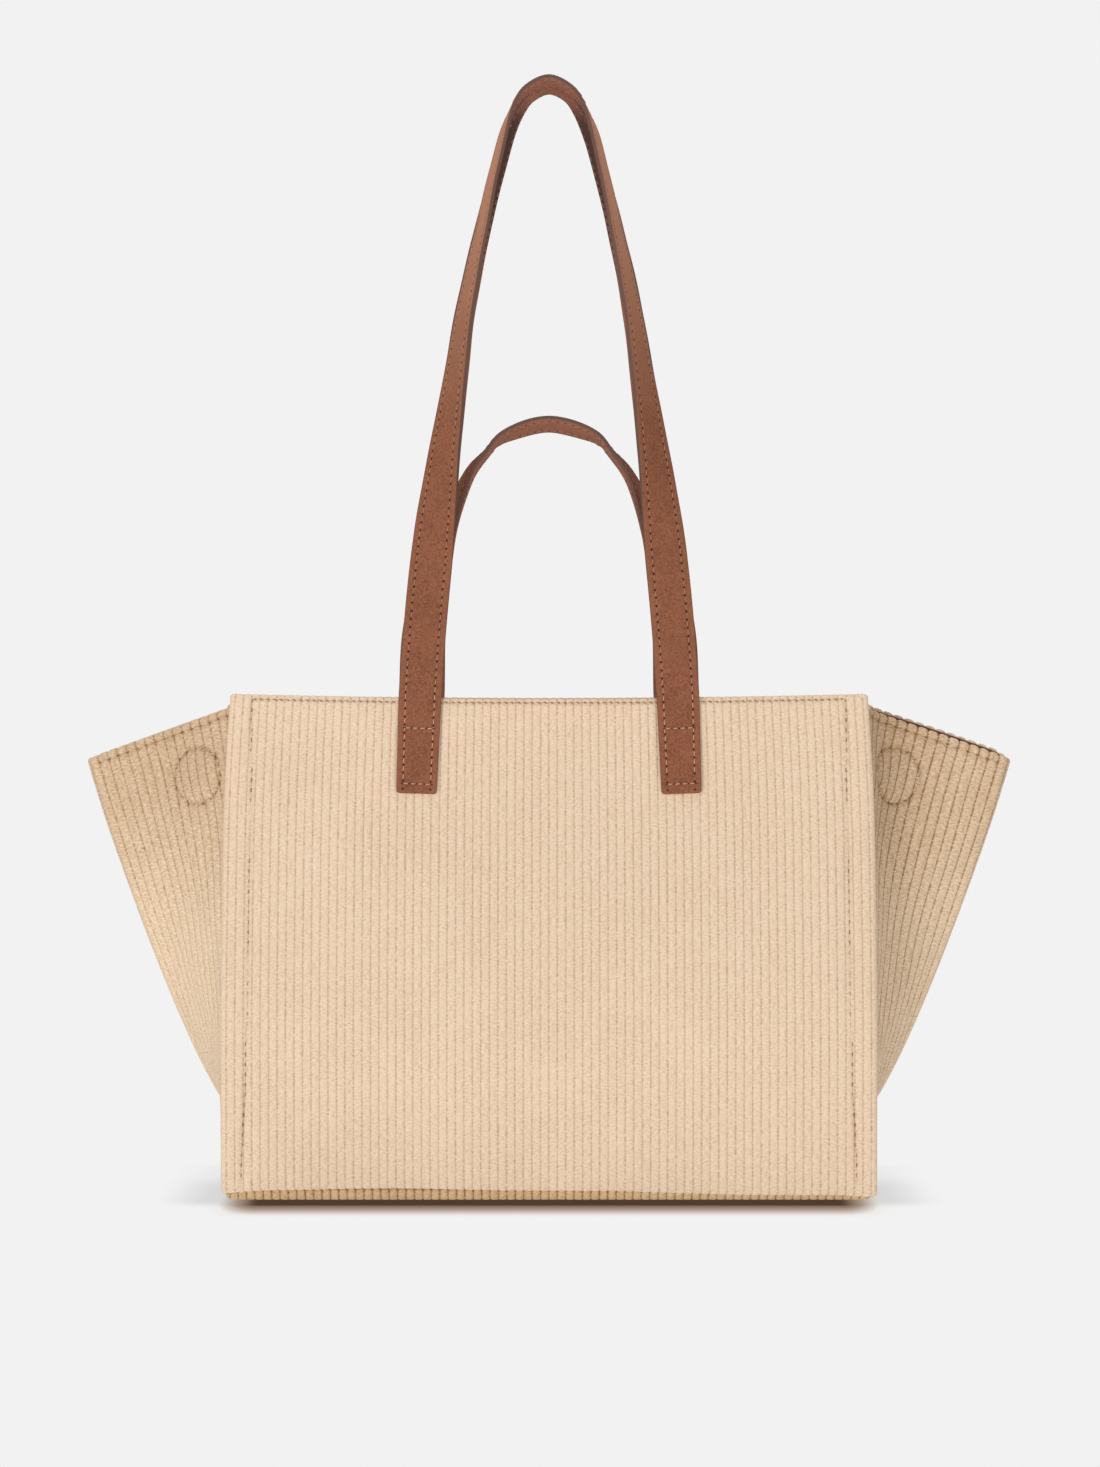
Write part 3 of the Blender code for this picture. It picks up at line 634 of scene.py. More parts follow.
wing = {
    "reach": 0.0725, "creaseDrop": 0.034, "seamDrop": 0.007, "foldStart": 0.040, "creaseCurve": 0.80,
    "softness": 0.04, "inset": 0.0005, "footInset": 0.0030, "slideGap": 0.0005, "wales": 16,
    "waleHeight": 0.00055, "cloth": 0.0011, "hemRoll": 0.0013, "hemTurnIn": 0.0050, "hemStitchDrop": 0.0036,
    "footRoll": 0.0014, "nose": 0.0042, "noseShare": 0.03, "plan": 1.35, "cutShare": 0.93,
    "rightDent": 0.0085, "dentPeak": 12.2, "dentSide": 0.3, "dentRise": 0.8, "rearLift": 0.0020,
    "liftFold": 0.15, "tuckIn": 0.0016, "footTuckReach": 0.015, "liningDepth": 0.0031, "liningWall": 0.0005,
    "pleat": 0.0006, "bendStart": 0.032, "bendEnd": 0.004, "seamWidth": 0.0010, "groove": 0.0006,
    "sag": 0.0016, "sagSpan": 0.030, "stitch": 0.0028, "thread": 0.0003, "hemSunk": 0.0005,
    "ringSunk": 0.0003, "nudge": 0.01, "cutFade": 0.03, "openRows": (0.79, 34),
    "buttonRows": (0.795, 0.975, 36), "hemRows": (0.981, 0.986, 0.990),
    "footRuns": (-0.002, -0.0012, -0.0005), "hemRuns": (0.0065, 0.009), "hiddenRidge": 0.1,
    "creaseRidge": 0.5, "creaseReach": 0.7, "scallop": 0.9, "scallopReach": 0.002, "ridgeEnd": 0.6,
    "seamPress": 0.4, "holeSharpness": 2.5, "lineStart": (0.9, 1.2), "liningTop": 0.985, "liningFoot": 0.004,
    "pleatSpan": 0.02, "pleatFade": 0.1, "liningGrid": (48, 42), "seamSteps": 80, "footSteps": 4,
    "hemSteps": 9,
}
button = {
    "radius": 0.0142, "rise": 0.0026, "drop": 0.0344, "reachShare": 0.224, "stitches": 18, "dome": 0.6,
    "magnetRadius": 0.0090, "magnetThickness": 0.0018, "magnetEase": 0.0003, "magnetSides": 36,
}
seamTop, creaseTop = rim - wing["seamDrop"], rim - wing["creaseDrop"]
seamLength = seamTop - foot


def wingName(side, wall):
    return sideNames[side] + wallNames[wall].capitalize()


def wingFold(turn):
    # the share of the way from the crease to the seam, rounded over at the crease
    soft = wing["softness"]
    return (np.hypot(turn, soft) - soft) / (math.hypot(1.0, soft) - soft)


def seamSide(z):
    # the wings stand just inside the walls' edges, and further in at the foot
    tucked = 1 - smoothStep((z - foot) / wing["footTuckReach"])
    return halfWidth(z) - wing["inset"] - wing["footInset"] * tucked


def wingPoint(turn, up, side):
    # between the crease, which bends outward as it climbs, and the seam behind the wall's edge
    turn, up = np.broadcast_arrays(turn, up)
    seamZ, creaseZ = mixValues(foot, seamTop, up), mixValues(foot, creaseTop, up)
    share = np.clip((creaseZ - wing["foldStart"]) / (creaseTop - wing["foldStart"]), 0, None)
    creaseX = seamSide(creaseZ) + wing["reach"] * share ** wing["creaseCurve"]
    held = np.clip(turn, -1, 1)
    fold = wingFold(held)
    # the right gusset is pushed in beside its seams by r⁴ (1 - r), brought to a peak of one, and its rear
    # half stands a little higher
    reach = np.abs(held)
    dent = wing["rightDent"] * (side > 0) * wing["dentPeak"] * reach ** 4 * (1 - reach)
    dent = dent * smoothStep(up / wing["dentRise"])
    x = side * (mixValues(creaseX, seamSide(seamZ), fold) - wing["dentSide"] * dent)
    # rounded out at the crease, then drawn in a little before it comes forward to the seam
    depth = halfDepth(seamZ) - bag["wallThickness"] - wing["slideGap"]
    nose = wing["nose"] * (1 - np.exp(-reach / wing["noseShare"]))
    depth = mixValues(nose, depth, reach ** wing["plan"]) - dent
    y = np.sign(turn) * (depth + np.clip(np.abs(turn) - 1, 0, None) * wing["wales"] * wing["tuckIn"])
    lift = wing["rearLift"] * (side > 0) * smoothStep(turn / wing["liftFold"]) * np.clip(up, 0, 1) ** 3
    return stacked(x, y, mixValues(creaseZ, seamZ, fold) + lift)


def buttonSeat(side, wall):
    # where the button's middle lies on the wing, and the ways across, up and out there
    turn = wall * (1 - button["reachShare"])
    height = mixValues(creaseTop - foot, seamTop - foot, wingFold(turn))
    up = (seamTop - button["drop"] - foot) / height
    middle, nudge = wingPoint(turn, up, side), wing["nudge"]
    rise = unitRows(wingPoint(turn, up + nudge, side) - wingPoint(turn, up - nudge, side))
    across = wingPoint(turn * (1 + nudge), up, side) - wingPoint(turn * (1 - nudge), up, side)
    outward = unitRows(np.cross(across, rise))
    outward = outward * np.sign(outward[0] * side)
    return middle, np.cross(rise, outward), rise, outward


def wingBend(side, wall):
    return {"from": "shell", "to": sideNames[side] + "_wing",
            "start": (0, wall * wing["bendStart"], 0), "end": (0, wall * wing["bendEnd"], 0)}


def wingTurns(side, wales, up):
    # the wales run at one pitch from the crease, and the seam cuts off those that reach it lower down
    fine = np.linspace(0, 1, wing["seamSteps"])
    run = runAlong(wingPoint(-fine[None, :], up[:, None], side))
    order = wales - 0.5
    pitch = run[-1, -1] / wing["wales"]
    free = np.stack([np.interp(order * pitch, row, fine) for row in run])
    cut = mixValues(wing["cutShare"], 1.0, order / wing["wales"])
    turn = np.where(order > wing["wales"], order / wing["wales"], np.minimum(free, cut))
    return turn, smoothStep((cut - free) / wing["cutFade"])


def wingGrid(side, wall, wales, up):
    # columns from the crease to the seam, or the other way where that keeps the outside out
    turn, shown = wingTurns(side, wales, up)
    points = wingPoint(wall * turn, up[:, None], side)
    return (points, shown) if side * wall > 0 else (points[:, ::-1], shown[:, ::-1])


def makeWingHalf(side, wall, nodes):
    # a half gusset with its foot turned under, its hem rolled over and the button standing up in it, where
    # the rows are closer together
    wales = waleColumns(wing["wales"] + 2)
    wales = wales[(wales >= 0.5) & (wales <= wing["wales"] + 1.5)]
    roll, footRoll = wing["hemRoll"], wing["footRoll"]
    up = np.concatenate([np.linspace(footRoll / seamLength, *wing["openRows"]),
                         np.linspace(*wing["buttonRows"]), wing["hemRows"], [1 - roll / seamLength]])
    main, free = wingGrid(side, wall, wales, up)
    normal, climb = gridNormals(main), unitRows(np.gradient(main, axis=0))
    footTurn = np.linspace(math.pi / 2, 0, wing["footSteps"])[:-1, None, None]
    under = main[0] - climb[0] * footRoll * np.sin(footTurn) - normal[0] * footRoll * (1 - np.cos(footTurn))
    hemTurn = np.linspace(0, math.pi, wing["hemSteps"])[1:]
    turned = hemTurn[:, None, None]
    hem = main[-1] + climb[-1] * roll * np.sin(turned) - normal[-1] * roll * (1 - np.cos(turned))
    inside = hem[-1] - climb[-1] * wing["hemTurnIn"] * np.array([0.5, 1.0])[:, None, None]
    points = np.concatenate([under, main, hem, inside])
    free = free[np.clip(np.arange(len(points)) - len(under), 0, len(main) - 1)]
    wales = wales if side * wall > 0 else wales[::-1]
    along = np.concatenate([wing["footRuns"], up * seamLength, seamLength + roll * hemTurn,
                            seamLength + np.array(wing["hemRuns"])])[:, None]
    hemmed = np.concatenate([np.zeros(len(under) + len(main)), hemTurn / math.pi, [1, 1]])[:, None]

    middle, across, rise, _ = buttonSeat(side, wall)
    apart = points - middle
    far = np.linalg.norm(apart, axis=-1)
    shown = 1 - smoothStep(hemmed * 2)
    dome = button["rise"] * np.clip(1 - (far / button["radius"]) ** 2, 0, None) ** button["dome"] * shown
    ring = bell(far - button["radius"], wing["seamWidth"]) * shown
    lineStart, lineReach = wing["lineStart"]
    fromCrease = smoothStep((wales - lineStart) / lineReach)
    overLine = along - (seamLength - wing["hemStitchDrop"])
    line = bell(overLine, wing["seamWidth"]) * shown * fromCrease
    scallop = 1 + wing["scallop"] * smoothStep(overLine / wing["scallopReach"]) * fromCrease
    creased = 1 + wing["creaseRidge"] * bell(wales - 0.5, wing["creaseReach"])
    ridge = wing["waleHeight"] * waleRidge(wales) * mixValues(wing["hiddenRidge"], 1.0, free)
    ridge = ridge * creased * scallop * (1 - smoothStep((hemmed - wing["ridgeEnd"]) / (1 - wing["ridgeEnd"])))
    seam = np.maximum(ring, line)
    y, z = points[..., 1], points[..., 2]
    sag = wing["sag"] * gentleWaves(y * 2, z, wing["sagSpan"], 1.3 + side + 0.5 * wall)
    sag = sag * smoothStep((wales - 0.5) / 3) * free
    sag = sag * smoothStep(along / wing["sagSpan"]) * smoothStep((seamLength - along) / wing["sagSpan"])
    height = ridge * (1 - wing["seamPress"] * seam) + dome - wing["groove"] * seam + sag
    points = points + gridNormals(points) * height[..., None]
    angle = np.arctan2(apart @ across, apart @ rise) / (2 * math.pi)
    run = np.where(ring > line, angle * button["stitches"], wales + 0.5)
    mesh = meshFromGrid(wingName(side, wall) + "WingCloth", points,
                        clothFields(wales, along, free, seam, run, seam ** wing["holeSharpness"]))
    addPiece(mesh, wingCorduroy, nodes=nodes, wall=wing["cloth"], bend=wingBend(side, wall))


def makeWingLining(side, wall, nodes):
    # the same half gusset a little further in, loosely pleated
    rows, columns = wing["liningGrid"]
    wales = np.linspace(0.5, wing["wales"] + 0.7, columns)
    top = 1.0 if side * wall > 0 and side > 0 else wing["liningTop"]
    up = np.linspace(wing["liningFoot"], top, rows)
    points, _ = wingGrid(side, wall, wales, up)
    order = wales if side * wall > 0 else wales[::-1]
    y, z = points[..., 1], points[..., 2]
    loose = wing["pleat"] * gentleWaves(y * 3, z, wing["pleatSpan"], 4.0 + side + wall)
    loose = loose * smoothStep((order - 0.5) / 4) * smoothStep((top - up[:, None]) / wing["pleatFade"])
    points = points - gridNormals(points) * (wing["liningDepth"] + loose)[..., None]
    mesh = meshFromGrid(wingName(side, wall) + "WingLining", points[:, ::-1])
    addPiece(mesh, brownLining, nodes=nodes, wall=-wing["liningWall"], bend=wingBend(side, wall))


def makeMagnet(side, wall, node):
    # a flat disc with eased edges under the button's cloth
    middle, across, rise, outward = buttonSeat(side, wall)
    radius, thick, ease = button["magnetRadius"], button["magnetThickness"], button["magnetEase"]
    reach = np.array([radius - ease, radius, radius, radius - ease])[:, None, None]
    height = np.array([0, ease, thick - ease, thick])[:, None, None] - ease
    angle = np.linspace(0, 2 * math.pi, button["magnetSides"], endpoint=False)[None, :, None]
    points = middle + reach * (np.cos(angle) * across + np.sin(angle) * rise) + height * outward
    mesh = meshFromGrid(wingName(side, wall) + "Magnet", points, ringed=True, capped=True)
    addPiece(mesh, platedSteel, nodes=[node], bend=wingBend(side, wall))


for side, sideName in sideNames.items():
    for wall, wallName in wallNames.items():
        makeWingHalf(side, wall, [sideName + "_gusset", f"{sideName}_{wallName}_button_cover"])
        makeWingLining(side, wall, [sideName + "_gusset_lining"])
        makeMagnet(side, wall, f"{sideName}_{wallName}_button_magnet")
print("wings and buttons made")


# Lining and hidden layers

lining = {
    "depth": 0.0047, "thickness": 0.0006, "wrinkle": 0.0005, "top": 0.0030, "floor": 0.0047,
    "sideGap": 0.0024, "baseGap": 0.0030, "rumple": 0.0005, "rumpleSpan": 0.02, "wrinkleSpan": 0.016,
    "wrinkleStretch": 0.6, "wrinkleReach": 0.05, "wallGrid": (70, 90), "baseGrid": (46, 90), "tucked": 0.001,
}


def makeWallLining(wall, node):
    # hangs inside the wall from under the turned-in rim, with slack wrinkles
    rows, columns = lining["wallGrid"]
    z = np.linspace(foot - lining["tucked"], rim - lining["top"], rows)[:, None]
    x = np.linspace(-1, 1, columns)[None, :] * (halfWidth(z) - lining["sideGap"])
    waves = gentleWaves(x, z * lining["wrinkleStretch"], lining["wrinkleSpan"], 3.0 + wall)
    wrinkle = lining["wrinkle"] * waves * smoothStep((rim - z) / lining["wrinkleReach"])
    y = wall * (wallDepth(x, z) - lining["depth"] - np.abs(wrinkle))
    mesh = meshFromGrid(wallNames[wall] + "LiningCloth", stacked(wall * x, y, z - rimSag(x, z, wall)))
    addPiece(mesh, brownLining, "shell", [node], lining["thickness"])


def makeBaseLining():
    # lies on the board, a little rumpled
    rows, columns = lining["baseGrid"]
    x = np.linspace(-1, 1, columns)[None, :] * (bag["baseWidth"] / 2 - lining["baseGap"])
    y = np.linspace(-1, 1, rows)[:, None] * (bag["baseDepth"] / 2 - lining["baseGap"])
    z = lining["floor"] + lining["rumple"] * (1 + gentleWaves(x, y, lining["rumpleSpan"], 2.0)) / 2
    mesh = meshFromGrid("baseLiningCloth", stacked(x, y, z))
    addPiece(mesh, brownLining, "shell", ["base_lining"], lining["thickness"])


makeWallLining(-1, "front_lining")
makeWallLining(1, "back_lining")
makeBaseLining()
hiddenLayers = {"front_interlining": needledFelt, "back_interlining": needledFelt, "base_board": greyBoard}
for node, material in hiddenLayers.items():
    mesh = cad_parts[node].data
    mesh.materials.clear()
    mesh.materials.append(material)
print("linings made")


# Straps

longStrap = {
    "drop": 0.3086, "backDropLess": 0.0022, "lean": 1.6, "tilt": math.radians(5.9),
    "backTilt": math.radians(-5.9), "archStart": 0.905, "steps": 300,
    "climbs": (0.0, 0.109, 0.217, 0.351, 0.489, 0.629, 0.768, 0.885, 0.935, 0.968, 0.988, 1.0),
    "spreads": (1.0, 0.962, 0.912, 0.838, 0.747, 0.645, 0.512, 0.388, 0.322, 0.246, 0.15, 0.0),
    "backSpreads": (1.0, 0.99, 0.944, 0.865, 0.768, 0.668, 0.528, 0.38, 0.302, 0.222, 0.14, 0.0),
    "turnClimbs": (0.0, 0.12, 0.17, 0.216, 0.264, 0.313, 0.362, 0.43, 0.509, 0.6, 0.723, 0.805, 0.89, 1.0),
    "turns": (0.0, 0.02, 0.06, 0.13, 0.25, 0.39, 0.51, 0.64, 0.76, 0.85, 0.925, 0.966, 1.0, 1.0),
}
shortHandle = {
    "drop": 0.1357, "backDropLess": 0.0, "lean": 0.85, "tilt": math.radians(16), "backTilt": math.radians(16),
    "archStart": 0.86, "steps": 180,
    "climbs": (0.0, 0.2, 0.38, 0.5, 0.604, 0.714, 0.825, 0.898, 0.958, 1.0),
    "spreads": (1.0, 0.985, 0.935, 0.875, 0.811, 0.725, 0.617, 0.492, 0.335, 0.0),
    "backSpreads": (1.0, 0.992, 0.95, 0.889, 0.826, 0.735, 0.618, 0.482, 0.322, 0.0),
    "turnClimbs": (0.0, 0.18, 0.36, 0.54, 0.66, 0.72, 0.79, 0.85, 0.9, 1.0),
    "turns": (0.0, 0.1, 0.36, 0.7, 0.87, 0.95, 1.02, 1.055, 1.05, 1.0),
}


def smoothRoute(points, steps):
    # a curve through the points, read at equal steps of its length: each stretch is a cubic that passes both
    # its ends in the direction between their neighbours
    padded = np.vstack([2 * points[0] - points[1], points, 2 * points[-1] - points[-2]])
    before, first, last, after = (padded[i:len(points) - 1 + i, None] for i in range(4))
    t = np.linspace(0, 1, straps["curveSteps"], endpoint=False)[None, :, None]
    fine = (2 * first + (last - before) * t + (2 * before - 5 * first + 4 * last - after) * t ** 2
            + (3 * first - before - 3 * last + after) * t ** 3) / 2
    fine = np.vstack([fine.reshape(-1, 3), points[-1:]])
    run = runAlong(fine)
    return readLine(np.linspace(0, run[-1], steps + 1), run, fine)


def strapPath(shape, wall, outerSide):
    # up the sewn end on one side, over the arch and down the other; the frame turns as the leg climbs
    root = rim + straps["gap"]
    thick = straps["thickness"]
    tilt = shape["backTilt"] if wall > 0 else shape["tilt"]
    drop = shape["drop"] - shape["backDropLess"] * (wall > 0)
    lean = straps["width"] / 2 * math.cos(tilt) + thick / 2 * abs(math.sin(tilt))
    layer = -straps["gap"] - thick / 2 if outerSide else straps["caughtDepth"]
    rootDepth = bag["mouthDepth"] / 2 - layer
    rise, spread = np.array(shape["climbs"]), np.array(shape["backSpreads" if wall > 0 else "spreads"])
    depth = mixValues(rootDepth, lean + straps["gap"] / 2, rise ** shape["lean"])
    leg = stacked(spread * straps["spacing"] / 2, wall * depth, root + drop * rise)
    route = smoothRoute(np.vstack([leg * (-1, 1, 1), leg[-2::-1]]), shape["steps"])
    z = rim - straps["endLength"] * (1 - np.linspace(0, 1, straps["endRows"]))
    z = np.concatenate([z[0] + np.array(straps["footRows"]), z[1:-1]])
    x = straps["spacing"] / 2 + straps["splay"] * (rim - z)
    end = stacked(x, wall * (wallDepth(x, z) - layer), z)
    middle = np.vstack([end * (-1, 1, 1), route, end[::-1]])
    tangent = unitRows(np.gradient(middle, axis=0))
    outward = np.array([0.0, wall, 0.0])
    front = unitRows(outward - tangent * (tangent @ outward)[:, None])
    inner = np.cross(tangent, front) * -wall
    climb = np.clip((middle[:, 2] - root) / drop, 0, 1)
    legTurn = straps["backLegTurn"] if wall > 0 else straps["legTurn"]
    over = smoothStep((climb - shape["archStart"]) / (1 - shape["archStart"]))
    turn = legTurn * np.interp(climb, shape["turnClimbs"], shape["turns"])
    turn = turn + (math.pi / 2 + tilt - legTurn) * over
    kept = slice(straps["keptRows"], -straps["keptRows"])
    smooth = np.full(straps["turnSmoothing"], 1 / straps["turnSmoothing"])
    turn[kept] = np.convolve(turn, smooth, "same")[kept]
    turn = turn[:, None]
    wide = (inner * np.cos(turn) + front * np.sin(turn)) * -wall
    run = runAlong(middle)
    return {"middle": middle, "wide": unitRows(wide), "out": unitRows(np.cross(wide, tangent)),
            "along": tangent, "run": run, "climb": climb, "end": run[len(end)]}


def strapSection():
    # half of the outer face, its groove under the stitches and its eased edge, mirrored to both faces
    half, thick = straps["width"] / 2, straps["thickness"] / 2
    across = np.array(straps["sectionAcross"])
    rise = straps["crown"] * (1 - np.clip(across / straps["crownReach"], 0, 1) ** 2)
    rise = rise - straps["groove"] * bell(across - leatherLook["stitchLine"], straps["grooveWidth"])
    rise = rise - straps["easing"] * smoothStep((across - straps["easingStart"]) / straps["easingReach"])
    face = stacked(across, thick + rise)
    heights = [*(thick - np.array(straps["edgeHeights"])), straps["edgeMiddle"], 0]
    edge = stacked(half - np.array(straps["edgeAcross"]), heights)
    quarter = np.vstack([face, edge])
    right = np.vstack([quarter, quarter[-2::-1] * (1, -1)])
    return np.vstack([right, right[-2:0:-1] * (-1, 1)])


def strapScale(path):
    # a little narrower towards the sewn feet, whose corners are rounded
    low = np.minimum(path["run"], path["run"][-1] - path["run"])
    width = mixValues(straps["footWidth"], straps["width"], np.clip(low / path["end"], 0, 1))
    corner = straps["footCorner"]
    cut = corner - np.sqrt(np.clip(corner ** 2 - np.clip(corner - low, 0, corner) ** 2, 0, None))
    thin = mixValues(straps["footThin"], 1.0, smoothStep(low / straps["thinReach"]))
    return (width - 2 * cut) / straps["width"], thin


def makeStrap(shape, wall, outerSide, name, body, nodes):
    # the section carried along the path, with a slight wave in the part that stands free
    path = strapPath(shape, wall, outerSide)
    wideScale, thickScale = (scale[:, None] for scale in strapScale(path))
    across, level = strapSection().T
    run = path["run"][:, None]
    wave = straps["wave"] * gentleWaves(run, run * 0.3, straps["waveSpan"], 1.5 + wall)
    aside = (across * wideScale)[..., None]
    outward = (level * thickScale + wave * (path["climb"][:, None] > 0))[..., None]
    points = path["middle"][:, None] + path["wide"][:, None] * aside + path["out"][:, None] * outward
    mesh = meshFromGrid(name, points, {"strapMap": stacked(across, run, level)}, ringed=True, capped=True)
    low, high = straps["bendHeights"]
    bend = {"from": "shell", "to": body, "start": (0, 0, rim + low), "end": (0, 0, rim + high)}
    addPiece(mesh, suedeLeather, nodes=nodes, bend=bend)
    return path, bend


# Stitches

stitch = {
    "ringPlaces": (-0.38, 0.0, 0.38), "ringSizes": (0.72, 1.0, 0.72), "sides": 6,
    "length": 0.0028, "thread": 0.00030, "sunk": 0.00008, "slant": 0.07, "firstOutside": 0.0042,
    "firstInside": 0.004, "backStart": 0.002, "barDrop": 0.0173, "footBarRise": 0.0037, "barSlant": 0.06,
    "barLift": 0.00010, "holeLift": 0.00014, "holeLength": 0.0015, "holeWidth": 0.00036,
}


def makeStitches(name, material, centres, alongWay, outWay, length, thick, body=None, bend=None):
    # each stitch is a six-sided spindle, laid along its seam and half sunk in the cloth or leather
    centres, alongWay, outWay = (np.vstack(part)[:, None] for part in (centres, alongWay, outWay))
    length = np.broadcast_to(length, len(centres))[:, None, None]
    sides = stitch["sides"]
    k = np.arange(sides)
    swell = np.array(stitch["ringSizes"])[:, None]
    angle = k * 2 * math.pi / sides
    rings = stacked(np.array(stitch["ringPlaces"])[:, None], swell * np.cos(angle), swell * np.sin(angle))
    spindle = np.vstack([rings.reshape(-1, 3), [[-0.5, 0, 0], [0.5, 0, 0]]])
    points = (centres + alongWay * spindle[:, :1] * length
              + (np.cross(outWay, alongWay) * spindle[:, 1:2] + outWay * spindle[:, 2:]) * thick)
    after = (k + 1) % sides
    quads = np.concatenate([stacked(k + sides, after + sides, after, k) + r for r in (0, sides)])
    tips = np.concatenate([stacked(3 * sides, k, after),
                           stacked(3 * sides + 1, after + 2 * sides, k + 2 * sides)])
    shift = (np.arange(len(centres)) * len(spindle))[:, None, None]
    quads, tips = (quads + shift).reshape(-1, 4), (tips + shift).reshape(-1, 3)
    mesh = meshFromFaces(name, points.reshape(-1, 3), quads, [tips])
    addPiece(mesh, material, body=body, bend=bend)


def strapStitches(path, wall, outerSide, name, bend):
    # two lines along each face; a sewn end has a bar under the rim and one at the foot, between punched holes
    pitch, line = leatherLook["stitchPitch"], leatherLook["stitchLine"]
    total, end, half = path["run"][-1], path["end"], straps["thickness"] / 2
    first = stitch["firstOutside"] if outerSide else end - stitch["firstInside"]
    run = np.arange(math.ceil(first / pitch), math.floor((total - first) / pitch)) * pitch
    wideScale, _ = strapScale(path)

    def read(where):
        # the middle of the strap there, and the ways across, out and along
        keys = ("middle", "wide", "out", "along")
        middle, *ways = (readLine(where, path["run"], path[key]) for key in keys)
        return middle, *map(unitRows, ways)

    centres, alongs, outs, holes = [], [], [], []
    backStart = end + stitch["backStart"]
    for face, shown in ((1, run), (-1, run[(run > backStart) & (run < total - backStart)])):
        middle, wide, out, along = read(shown)
        aside = wide * (line * np.interp(shown, path["run"], wideScale))[:, None]
        for edge in (1, -1):
            centres.append(middle + aside * edge + out * face * (half - stitch["sunk"]))
            alongs.append(unitRows(along + wide * stitch["slant"]))
            outs.append(out * face)
    if outerSide:
        for drop in (stitch["barDrop"], straps["endLength"] - stitch["footBarRise"]):
            for where in (end - drop, total - end + drop):
                punched = np.linspace(-line, line, 5)[:, None]
                steps = (punched[1:] + punched[:-1]) / 2
                spots = np.full(len(steps), where)
                middle, wide, out, along = read(spots)
                holes.append(middle[:1] + wide[:1] * punched + out[:1] * (half + stitch["holeLift"]))
                centres.append(middle + wide * steps + out * (half + stitch["barLift"]))
                alongs.append(unitRows(wide + along * stitch["barSlant"]))
                outs.append(out)
    makeStitches(name, strapThread, centres, alongs, outs, stitch["length"], stitch["thread"], bend=bend)
    # painted shade: the punched holes are short dark spindles on the leather
    if holes:
        makeStitches(name + "Holes", holeShadeThread, holes, [[1.0, 0.0, 0.0]], [[0.0, wall, 0.0]],
                     stitch["holeLength"], stitch["holeWidth"], bend=bend)


for wall, wallName in wallNames.items():
    for shape, kind, outerSide in ((longStrap, "long_strap", True), (shortHandle, "short_handle", False)):
        body = f"{wallName}_{kind}"
        nodes = [body + "_face", body + "_backing"] + [f"{body}_{side}_end" for side in ("left", "right")]
        label = wallName + ("LongStrap" if outerSide else "ShortHandle")
        path, bend = makeStrap(shape, wall, outerSide, label + "Leather", body, nodes)
        strapStitches(path, wall, outerSide, label + "Stitches", bend)
print("straps made")


def panelStitches(wall):
    # short threads in the grooves beside the flanges and under the rim
    reach, nudge = panel["rimStitchReach"], panel["nudge"]
    z = np.arange(*panel["sideStitchCounts"]) * panel["sideStitchPitch"]
    inner = halfWidth(z) - flangeWidth(z)
    x = np.arange(-reach, reach + nudge, panel["rimStitchPitch"])
    x = x[underStrap(x, rim - panel["strapGapDrop"]) < panel["strapGapShare"]]
    xs = np.concatenate([-inner, inner, x])
    zs = np.concatenate([z, z, x * 0 + rim - panel["rimStitchDrop"]])
    sunk = wallDepth(xs, zs) - panel["grooveDepth"] + panel["threadLift"]
    slope = (wallDepth(xs, zs + nudge) - wallDepth(xs, zs - nudge)) / (2 * nudge)
    upright = np.arange(len(xs)) < 2 * len(z)
    alongs = np.where(upright[:, None], unitRows(stacked(0, wall * slope, 1.0)), (1.0, 0.0, 0.0))
    centres = stacked(xs, wall * sunk, zs - rimSag(xs, zs, wall))
    lengths = np.where(upright, panel["sideStitch"], panel["rimStitch"])
    makeStitches(wallNames[wall] + "PanelStitches", clothThread, centres, alongs,
                 unitRows(stacked(0, wall, -slope)), lengths, panel["thread"], body="shell")


def wingStitches(side, wall):
    # a line under the hem and a ring round the button
    line = 1 - wing["hemStitchDrop"] / seamLength
    turn, _ = wingTurns(side, np.arange(1, wing["wales"]) + 0.5, np.array([line]))
    turn = wall * turn[0]
    spots = wingPoint(turn, line, side)
    nudge = wing["nudge"]
    climb = unitRows(spots - wingPoint(turn, line - nudge, side))
    level = unitRows(wingPoint(turn + nudge, line, side) - wingPoint(turn - nudge, line, side))
    outs = unitRows(np.cross(level, climb))
    outs = outs * np.sign(outs[:, :1] * side)
    middle, across, rise, outward = buttonSeat(side, wall)
    angle = (np.arange(button["stitches"]) * 2 * math.pi / button["stitches"])[:, None]
    ringSpots = middle + button["radius"] * (np.sin(angle) * across + np.cos(angle) * rise)
    ringWays = np.cos(angle) * across - np.sin(angle) * rise
    makeStitches(wingName(side, wall) + "WingStitches", clothThread,
                 [spots - outs * wing["hemSunk"], ringSpots - outward * wing["ringSunk"]], [level, ringWays],
                 [outs, np.broadcast_to(outward, ringWays.shape)], wing["stitch"], wing["thread"],
                 bend=wingBend(side, wall))


for wall in wallNames:
    panelStitches(wall)
    for side in sideNames:
        wingStitches(side, wall)
print("stitches made")


# Floor, light and camera

